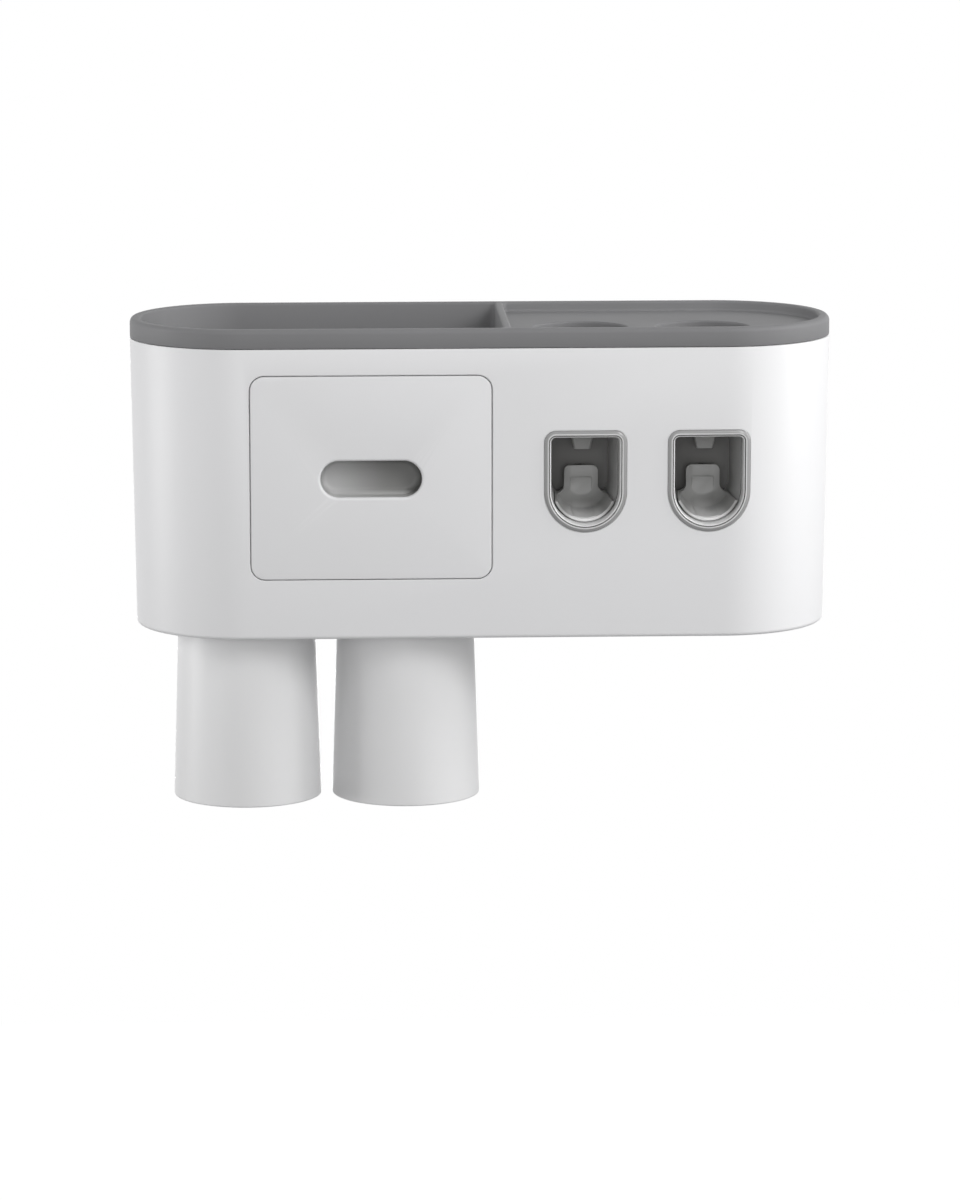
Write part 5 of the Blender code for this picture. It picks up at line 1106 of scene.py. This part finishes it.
def makePaddle(x, word):
    front, wall = paddle["depth"] - body["depth"], paddle["scoopWall"]
    back, bend = front + paddle["thick"], front - paddle["scoopRadius"]
    mouth = paddle["scoopDepth"] - body["depth"]
    outlines = [onY(paddleOutline(paddleRadius(y)), y) for y in (mouth, back)]
    piece = asPiece(f"pushPaddle_{word}", loftMesh(outlines))
    turns = roundEdge(paddle["scoopRadius"], 16)
    sections = [(paddleRadius(bend) - wall - rise, front - inset) for inset, rise in turns]
    loops, top = [], centreZ + paddle["tabRise"] + past
    for radius, y in [(paddleRadius(mouth - past) - wall, mouth - past)] + sections:
        outline = arcPoints((0.0, centreZ), radius, -2 * quarterTurn, 0.0, squeezer["steps"])
        loops.append(onY(outline + [(radius, top), (-radius, top)], y))
    carve(piece, loftMesh(loops))
    softenEdges(piece, paddle["edge"])
    fuse(piece, scoopStrip([(paddleRadius(mouth + wall) - wall, mouth + wall)] + sections))
    half, tall, rise = paddle["padHalf"], paddle["padHeight"] / 2, paddle["padRaise"]
    padZ = centreZ + paddle["tabRise"] - paddle["padDrop"] - tall
    steps = ((0.25 * mm, front - rise), (0.0, front - rise + 0.2 * mm), (0.0, front + sink))
    pad = [onY(rounded(half - inset, tall - inset, paddle["padCorner"], (0.0, padZ)), y) for inset, y in steps]
    end = pumpFront - paddle["rodEnd"]
    profile = [(paddle["rodRadius"], back - sink), (paddle["rodRadius"], end)]
    profile += [(paddle["tipRadius"], end), (paddle["tipRadius"], end + paddle["tipLength"])]
    fuse(piece, gather(loftMesh(pad), turnedMesh(profile, 40, alongY=True, centre=(0.0, 0.0, rodZ))))
    movePiece(piece, x)
    seat(piece, f"{word}_pusher", "paddlePaintedShading", "paddle_plastic", f"paddle_{word}", angle=35.0)


for x, word in squeezers:
    for makePart in (makeBezel, makeHousing, makeNozzle, makePaddle):
        makePart(x, word)
print("squeezers made")

# Cups, turned by a node tree from a profile

cup = inMm({
    "height": 85.1, "baseRadius": 33.5, "mouthRadius": 36.2, "wall": 1.8, "base": 5.4, "fillet": 2.2,
    "lip": 0.6, "recess": 3.4, "bore": 15.3, "steps": 128,
})


def cupProfile():
    height, lip, wall, base, outer = cup["height"], cup["lip"], cup["wall"], cup["base"], cup["mouthRadius"]
    slope = (outer - cup["baseRadius"]) / height
    points = [(0.0, -cup["recess"]), (cup["bore"], -cup["recess"]), (cup["bore"], 0.0)]
    points += [(cup["baseRadius"] - inset, -rise) for inset, rise in roundEdge(cup["fillet"], 8)]
    bead = arcPoints((outer - wall / 2, wall / 2 - height), wall / 2, 0.0, -2 * quarterTurn, 10)
    points += [(outer - slope * lip, wall / 2 - height)] + bead[1:]
    inner = cup["baseRadius"] - wall + slope * base
    points += [(inner - inset, -base - rise) for inset, rise in roundBack(cup["fillet"], 8)]
    return points + [(0.0, -base)]


def makeCup(x, word):
    profile = pointsMesh([(radius, 0.0, height) for radius, height in cupProfile()])
    piece = grow(f"rinsingCup_{word}", turnedShape, profile, "cupSatin", {"Steps": cup["steps"]})
    piece.data.transform(Matrix.Translation((x, cups["y"], baseZ - seam)))
    seat(piece, f"{word}_cup", "cupSatin", "cup_plastic", f"cup_{word}")


for x, word in zip(cups["x"], ("left", "right")):
    makeCup(x, word)
print("cups made")

# Pumps behind the windows, turned round the rod's axis

pump = inMm({
    "gap": 0.4, "plungerThick": 4.2, "rimThick": 2.0, "bellows": 9.2, "waist": 7.2, "wall": 1.1, "folds": 3,
    "foldSteps": 12, "spigot": 2.3, "coverThick": 2.0, "collarRadius": 6.0, "collarLength": 4.0,
    "neckRadius": 3.9, "neckBore": 2.2, "neckLength": 4.2, "travel": 9.0, "edge": 0.3,
})
spring = {"Radius": 10.7 * mm, "Wire Radius": 0.45 * mm, "Turns": 6.0}
pipe = inMm({"bore": 2.0, "bend": 7.0, "straight": 2.4, "steps": 10, "sides": 24})
plungerFront = pumpFront + pump["gap"]
plungerBack = plungerFront + pump["plungerThick"]
pumpBack = pumpFront + cavity["tubeLength"]
coverFace = pumpBack - pump["spigot"]
bellowsFront, bellowsBack = plungerBack + seam, coverFace - seam
neckEnd = pumpBack + pump["coverThick"] + pump["neckLength"] / 2


def turnedPiece(name, profile, x, ring=False, steps=64):
    return asPiece(name, turnedMesh(profile, steps, ring, alongY=True, centre=(x, 0.0, rodZ)))


def squashWithPaddle(piece):
    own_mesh(piece)


def makePlunger(x, word):
    edge = pump["edge"]
    rim, bore = cavity["tubeRadius"] - pump["gap"], paddle["tipRadius"] + seam
    lip = plungerFront + pump["rimThick"]
    blind = pumpFront + paddle["tipLength"] + seam
    profile = [(bore, blind), (bore, plungerFront + edge), (bore + edge, plungerFront)]
    profile += [(rim - edge, plungerFront), (rim, plungerFront + edge), (rim, lip - edge), (rim - edge, lip)]
    profile += [(pump["bellows"] + edge, plungerBack - edge), (pump["bellows"] - edge, plungerBack)]
    piece = turnedPiece(f"pumpPlunger_{word}", profile, x)
    seat(piece, f"{word}_pusher", "paddleGray", "paddle_plastic", f"plunger_{word}")


def makeBellows(x, word):
    wall, waist, deep = pump["wall"], pump["waist"], pump["bellows"] - pump["waist"]
    count = pump["folds"] * pump["foldSteps"]
    outer = []
    for i in range(count + 1):
        swell = 0.5 - 0.5 * math.cos(4 * quarterTurn * i / pump["foldSteps"])
        outer.append((waist + deep * swell, bellowsFront + (bellowsBack - bellowsFront) * i / count))
    inner = [(radius - wall, y) for radius, y in outer if bellowsFront + wall <= y <= bellowsBack - wall]
    inner = [(inner[0][0], bellowsFront + wall)] + inner + [(inner[-1][0], bellowsBack - wall)]
    mouth = [(pump["neckBore"], bellowsBack), (pump["neckBore"], bellowsBack - wall)]
    piece = turnedPiece(f"pumpBellows_{word}", outer + mouth + list(reversed(inner)), x, steps=48)
    neck = [(pump["neckRadius"], bellowsBack), (pump["neckRadius"], neckEnd)]
    neck += [(pump["neckBore"], neckEnd), (pump["neckBore"], bellowsBack)]
    tube = turnedPiece(f"bellowsNeck_{word}", neck, x, ring=True, steps=40)
    seat(piece, "body", "milkSilicone", "silicone", f"bladder_{word}", angle=50.0)
    seat(tube, "body", "milkSilicone", "silicone", f"bladder_{word}")
    squashWithPaddle(piece)


def makeSpring(x, word):
    inputs = {**spring, "Length": bellowsBack - bellowsFront}
    piece = grow(f"returnCoil_{word}", springTree, pointsMesh([(0.0, 0.0, 0.0)]), "brightSteel", inputs)
    piece.data.transform(Matrix.Translation((x, bellowsFront, rodZ)) @ Matrix.Rotation(-quarterTurn, 4, "X"))
    seat(piece, "body", "brightSteel", "steel", f"return_spring_{word}", angle=60.0)
    squashWithPaddle(piece)


def makeRearCover(x, word):
    edge = pump["edge"]
    spigot, rim = cavity["tubeRadius"] - pump["gap"], cavity["tubeRadius"] + cavity["tubeWall"]
    bore, start = pump["neckRadius"] + seam, pumpBack + seam
    plate = start + pump["coverThick"]
    end, collar = plate + pump["collarLength"], pump["collarRadius"]
    profile = [(bore, coverFace), (spigot - edge, coverFace), (spigot, coverFace + edge), (spigot, start)]
    profile += [(rim - edge, start), (rim, start + edge), (rim, plate - edge), (rim - edge, plate)]
    profile += [(collar + edge, plate), (collar, plate + edge), (collar, end - edge), (collar - edge, end)]
    profile.append((bore, end))
    piece = turnedPiece(f"pumpCover_{word}", profile, x, ring=True)
    seat(piece, "body", "cavityPaintedShading", "dark_plastic", f"rear_cover_{word}")


def pipePath():
    start, bend, steps = neckEnd + seam, pipe["bend"], pipe["steps"]
    turnY = start + pipe["straight"]
    mouth = tray["wellY"] + inlet["tail"] - inlet["pipeRadius"] - past + seam
    points = [(start, rodZ)] + arcPoints((turnY, rodZ + bend), bend, -quarterTurn, 0.0, steps)
    return points + arcPoints((turnY, passageZ - bend), bend, 0.0, quarterTurn, steps) + [(mouth, passageZ)]


def pipeLoops(x, radius):
    path, loops = pipePath(), []
    for i, (y, z) in enumerate(path):
        before, after = path[max(i - 1, 0)], path[min(i + 1, len(path) - 1)]
        slope = math.atan2(after[1] - before[1], after[0] - before[0])
        ring = arcPoints((0.0, 0.0), radius, 0.0, 4 * quarterTurn, pipe["sides"])[:-1]
        loops.append([(x + across, y - up * math.sin(slope), z + up * math.cos(slope)) for across, up in ring])
    return loops


def makePipe(x, word):
    loops = pipeLoops(x, inlet["pipeRadius"]) + list(reversed(pipeLoops(x, pipe["bore"])))
    piece = asPiece(f"pastePipe_{word}", loftMesh(loops, ring=True))
    seat(piece, "body", "cavityPaintedShading", "dark_plastic", f"feed_pipe_{word}", angle=40.0)


tubeSeat = inMm({
    "flange": 10.0, "lip": 2.0, "height": 8.0, "bore": 4.0, "mouth": 6.4, "wall": 1.2, "edge": 0.3,
    "valveThick": 0.9, "stem": 1.0,
})


def makeTubeSeat(x, word):
    edge, wall = tubeSeat["edge"], tubeSeat["wall"]
    low, start = socketTop - inlet["socketDepth"] + seam, socketTop + seam
    lip, top = start + tubeSeat["lip"], start + tubeSeat["height"]
    flange, mouth, bore = tubeSeat["flange"], tubeSeat["mouth"], tubeSeat["bore"]
    plug, shoulder = inlet["socketRadius"] - seam, inlet["socketRadius"] + wall
    profile = [(plug - edge, low), (plug, low + edge), (plug, start), (flange - edge, start)]
    profile += [(flange, start + edge), (flange, lip - edge), (flange - edge, lip), (shoulder + edge, lip)]
    profile += [(shoulder, lip + edge), (mouth + wall, top - edge), (mouth + wall - edge, top)]
    profile += [(mouth + edge, top), (mouth, top - edge), (mouth - edge, top - 2 * edge)]
    profile += [(bore, start), (bore, low)]
    piece = asPiece(f"tubeSeat_{word}", turnedMesh(profile, 64, ring=True, centre=(x, tray["wellY"], 0.0)))
    seat(piece, "body", "milkSilicone", "silicone", f"inlet_socket_{word}")


def makeInletValve(x, word):
    edge, thick, radius, stem = tubeSeat["edge"], tubeSeat["valveThick"], inlet["valveRadius"], tubeSeat["stem"]
    disc = socketTop - inlet["socketDepth"] - inlet["valveSeat"] + seam
    foot = passageZ + outlet["passageRadius"] / 2
    profile = [(stem, foot), (stem, disc - edge), (stem + edge, disc), (radius, disc), (radius, disc + edge)]
    profile += [ (radius - edge, disc + thick / 2), (radius * 0.6, disc + thick)]
    valve = asPiece(f"inletFlap_{word}", turnedMesh(profile, 48, centre=(x, tray["wellY"], 0.0)))
    seat(valve, "body", "milkSilicone", "silicone", f"inlet_valve_{word}")


bill = inMm({"radius": 2.5, "length": 6.0, "tip": 0.5, "wall": 0.5, "slit": 0.1, "sections": 8})


def makeDuckbill(x, word):
    low, count, radius = nozzleTipZ + bill["tip"], bill["sections"], bill["radius"]
    bore, centre = radius - bill["wall"], (0.0, outlet["y"])
    outer, inner = [], []
    for i in range(count + 1):
        share, z = min(2 * i / count, 1.0), low + bill["length"] * i / count
        eased = share * share * (3 - 2 * share)
        half, gape = bill["tip"] + (radius - bill["tip"]) * eased, bill["slit"] + (bore - bill["slit"]) * eased
        outer.append(onZ(rounded(radius, half, half, centre, 10), z))
        inner.append(onZ(rounded(bore, gape, gape, centre, 10), z))
    piece = asPiece(f"outletBill_{word}", shifted(loftMesh(outer + list(reversed(inner)), ring=True), x))
    seat(piece, "body", "milkSilicone", "silicone", f"outlet_valve_{word}", angle=40.0)


pumpParts = (
    makePlunger, makeBellows, makeSpring, makeRearCover, makePipe, makeTubeSeat, makeInletValve, makeDuckbill,
)
for x, word in squeezers:
    for makePart in pumpParts:
        makePart(x, word)
print("pumps made")

# Brush rack, a plate with a row of notches


def rackPlate():
    inset = rack["wall"] + rack["gap"]
    left, right, back = rackLeft + inset, rackRight - inset, -rack["back"] - inset
    corner, tip, front = rack["corner"] - inset, rack["finger"], rack["notchY"] - rack["notchDepth"]
    points = arcPoints((right - corner, back - corner), corner, 0.0, quarterTurn, 8)
    points += arcPoints((left + corner, back - corner), corner, quarterTurn, 2 * quarterTurn, 8)
    points += arcPoints((left + tip, front + tip), tip, 2 * quarterTurn, 3 * quarterTurn, 8)
    centre, nose = (rackRight - rack["nose"], rack["nose"] - rackFront), rack["nose"] - inset
    return points + arcPoints(centre, nose, math.asin((front - centre[1]) / nose), 0.0, 16)


def notchOutline():
    half, tip, deep = rack["notchWidth"] / 2, rack["finger"], rack["notchY"]
    front = deep - rack["notchDepth"]
    points = [(-half - tip, front - past), (half + tip, front - past)]
    points += arcPoints((half + tip, front + tip), tip, 3 * quarterTurn, 2 * quarterTurn, 8)
    points += arcPoints((0.0, deep), half, 0.0, 2 * quarterTurn, 20)
    return points + arcPoints((-half - tip, front + tip), tip, 0.0, -quarterTurn, 8)


def makeBrushRack():
    low = floorZ + seam
    high = low + rack["thick"]
    cutter = asPiece("notchCutter", slab(notchOutline(), low - past, high + past))
    inputs = {"Cutter": cutter, "Count": rack["count"], "Pitch": rack["pitch"], "Middle": rack["x"]}
    piece = grow("brushRack", notchTree, slab(rackPlate(), low, high), "trayGray", inputs)
    bpy.data.objects.remove(cutter)
    places = floorScrewPlaces()[2:]
    carve(piece, gather(*[rodMesh(tub["screwHole"], low - past, high + past, x, y) for x, y in places]))
    softenEdges(piece, rack["edge"])
    seat(piece, "body", "trayGray", "gray_plastic", "brush_rack")


makeBrushRack()
print("brush rack made")

# Screws, one mesh for each body


def makeScrews(name, bodyName, places, turns, nodes):
    piece = grow(name, screwTree, pointsMesh(places, turns), "brightSteel", {})
    seat(piece, bodyName, "brightSteel", "steel", *nodes)


def screwsOfTheBody():
    headZ = baseZ + tub["screwSink"] - seam - tub["screwHeadThick"]
    headY = housingFront + cavity["earBack"] + cavity["earThick"] + seam + tub["screwHeadThick"]
    places = [(x, y, headZ) for x, y in floorScrewPlaces()] + [(x, headY, 0.0) for x in earPlaces]
    turns = [(0.0, 0.0, 0.3 * i) for i in range(4)] + [(quarterTurn, 0.5 * i, 0.0) for i in range(4)]
    names = ["bay_screw_front", "bay_screw_back", "rack_screw_left", "rack_screw_right"]
    names += [f"housing_screw_{word}_{end}" for side, word in bothSides for end in ("outer", "inner")]
    makeScrews("bodyScrews", "body", places, turns, names)


def screwsOfTheDrawer():
    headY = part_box("drawer_screw_left")[1][1]  # the head's face
    places = [(x, headY, slotZ) for x in postPlaces]
    turns = [(quarterTurn, 0.4, 0.0), (quarterTurn, 1.1, 0.0)]
    makeScrews("drawerScrews", "drawer", places, turns, [f"drawer_screw_{word}" for side, word in bothSides])


screwsOfTheBody()
screwsOfTheDrawer()
print("screws made")

# Wall plates' foam, soft at its cut edge

foam = inMm({"thick": 0.8, "bulge": 0.25, "steps": 6})


def makeFoam(side, word):
    thick, bulge, steps = foam["thick"], foam["bulge"], foam["steps"]
    loops = []
    for i in range(steps + 1):
        swell = math.sin(2 * quarterTurn * i / steps)
        loops.append(onY(hangerOutline(side, bulge * (swell - 1.0)), -thick * i / steps))
    piece = asPiece(f"foamPad_{word}", loftMesh(loops))
    seat(piece, "body", "padFoam", "adhesive_foam", f"adhesive_pad_{word}", angle=60.0)


for side, word in bothSides:
    makeFoam(side, word)
print("foam made")

# Pieces that keep their solids and get their finishes

nodeFinish = {
    "insideWhite": ("drawer_bay", "brush_hood", "magnet_cover_left", "magnet_cover_right"),
    "cupSatin": ("cup_cap_left", "cup_cap_right"),
    "hangerClear": ("wall_hanger_left", "wall_hanger_right"),
    "blackFerrite": ("holder_magnet_left", "holder_magnet_right"),
    "brightSteel": ("cup_magnet_left", "cup_magnet_right"),
}
for finishName, names in nodeFinish.items():
    for name in names:
        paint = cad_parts[name].data.materials
        paint.clear()
        paint.append(finishes[finishName])
print("solids finished")

# Studio: lamps are (place, size, power), and all look at the target

studio = {
    "floorZ": -1.5, "floorSize": 9.0, "floorThick": 0.02, "floorGray": 0.5, "floorRoughness": 0.9,
    "floorGlow": 0.85, "world": 0.22, "target": (0.0, -0.05, -0.03),
}
lamps = {
    "keySoftbox": ((1.1, -1.6, 1.1), (0.8, 1.0), 19.5),
    "frontFill": ((-0.1, -2.6, 0.4), (1.2, 0.7), 14.5),
    "rightSoftbox": ((1.7, -0.2, 0.6), (0.8, 1.4), 20.0),
    "leftSoftbox": ((-1.8, 0.0, 0.2), (0.8, 1.4), 17.5),
    "backSoftbox": ((0.0, 2.4, -0.4), (0.8, 0.8), 22.0),
}


def addLamp(name, place, size, power):
    data = bpy.data.lights.new(name, "AREA")
    data.shape, data.energy = "RECTANGLE", power
    data.size, data.size_y = size
    aim = Vector(place) - Vector(studio["target"])
    turn = aim.to_track_quat("Z", "Y").to_matrix().to_4x4()
    newObject(name, data).matrix_world = Matrix.Translation(place) @ turn


def makePaleRoom():  # white to the camera and in reflections, dim as light
    world = bpy.data.worlds.new("paleRoom")
    bpy.context.scene.world = world
    world.use_nodes = True
    tree = world.node_tree
    rays = addNode(tree, "ShaderNodeLightPath").outputs
    seen = addMath(tree, "MAXIMUM", rays["Is Camera Ray"], rays["Is Glossy Ray"])
    seen = addMath(tree, "MAXIMUM", seen, rays["Is Transmission Ray"])
    level = addNode(tree, "ShaderNodeMapRange", {"Value": seen, "To Min": studio["world"], "To Max": 1.0})
    background = tree.nodes["Background"].inputs
    tree.links.new(level.outputs["Result"], background["Strength"])
    background["Color"].default_value = rgba(1.0)


def makeFloor():
    half, z = studio["floorSize"] / 2, studio["floorZ"]
    square = [(-half, -half), (half, -half), (half, half), (-half, half)]
    floor = asPiece("studioFloor", slab(square, z - studio["floorThick"], z))
    paint = bpy.data.materials.new("floorPaint")
    paint.use_nodes = True
    tree = paint.node_tree
    shader = tree.nodes["Principled BSDF"].inputs
    shader["Base Color"].default_value = rgba(studio["floorGray"])
    shader["Roughness"].default_value = studio["floorRoughness"]
    shader["Emission Color"].default_value = rgba(1.0)
    rays = addNode(tree, "ShaderNodeLightPath").outputs
    glow = addMath(tree, "MULTIPLY", rays["Is Camera Ray"], studio["floorGlow"])
    tree.links.new(glow, shader["Emission Strength"])
    floor.data.materials.append(paint)


makePaleRoom()
makeFloor()
for name, lamp in lamps.items():
    addLamp(name, *lamp)
bpy.context.scene.view_settings.view_transform = "Standard"
print("studio lit")
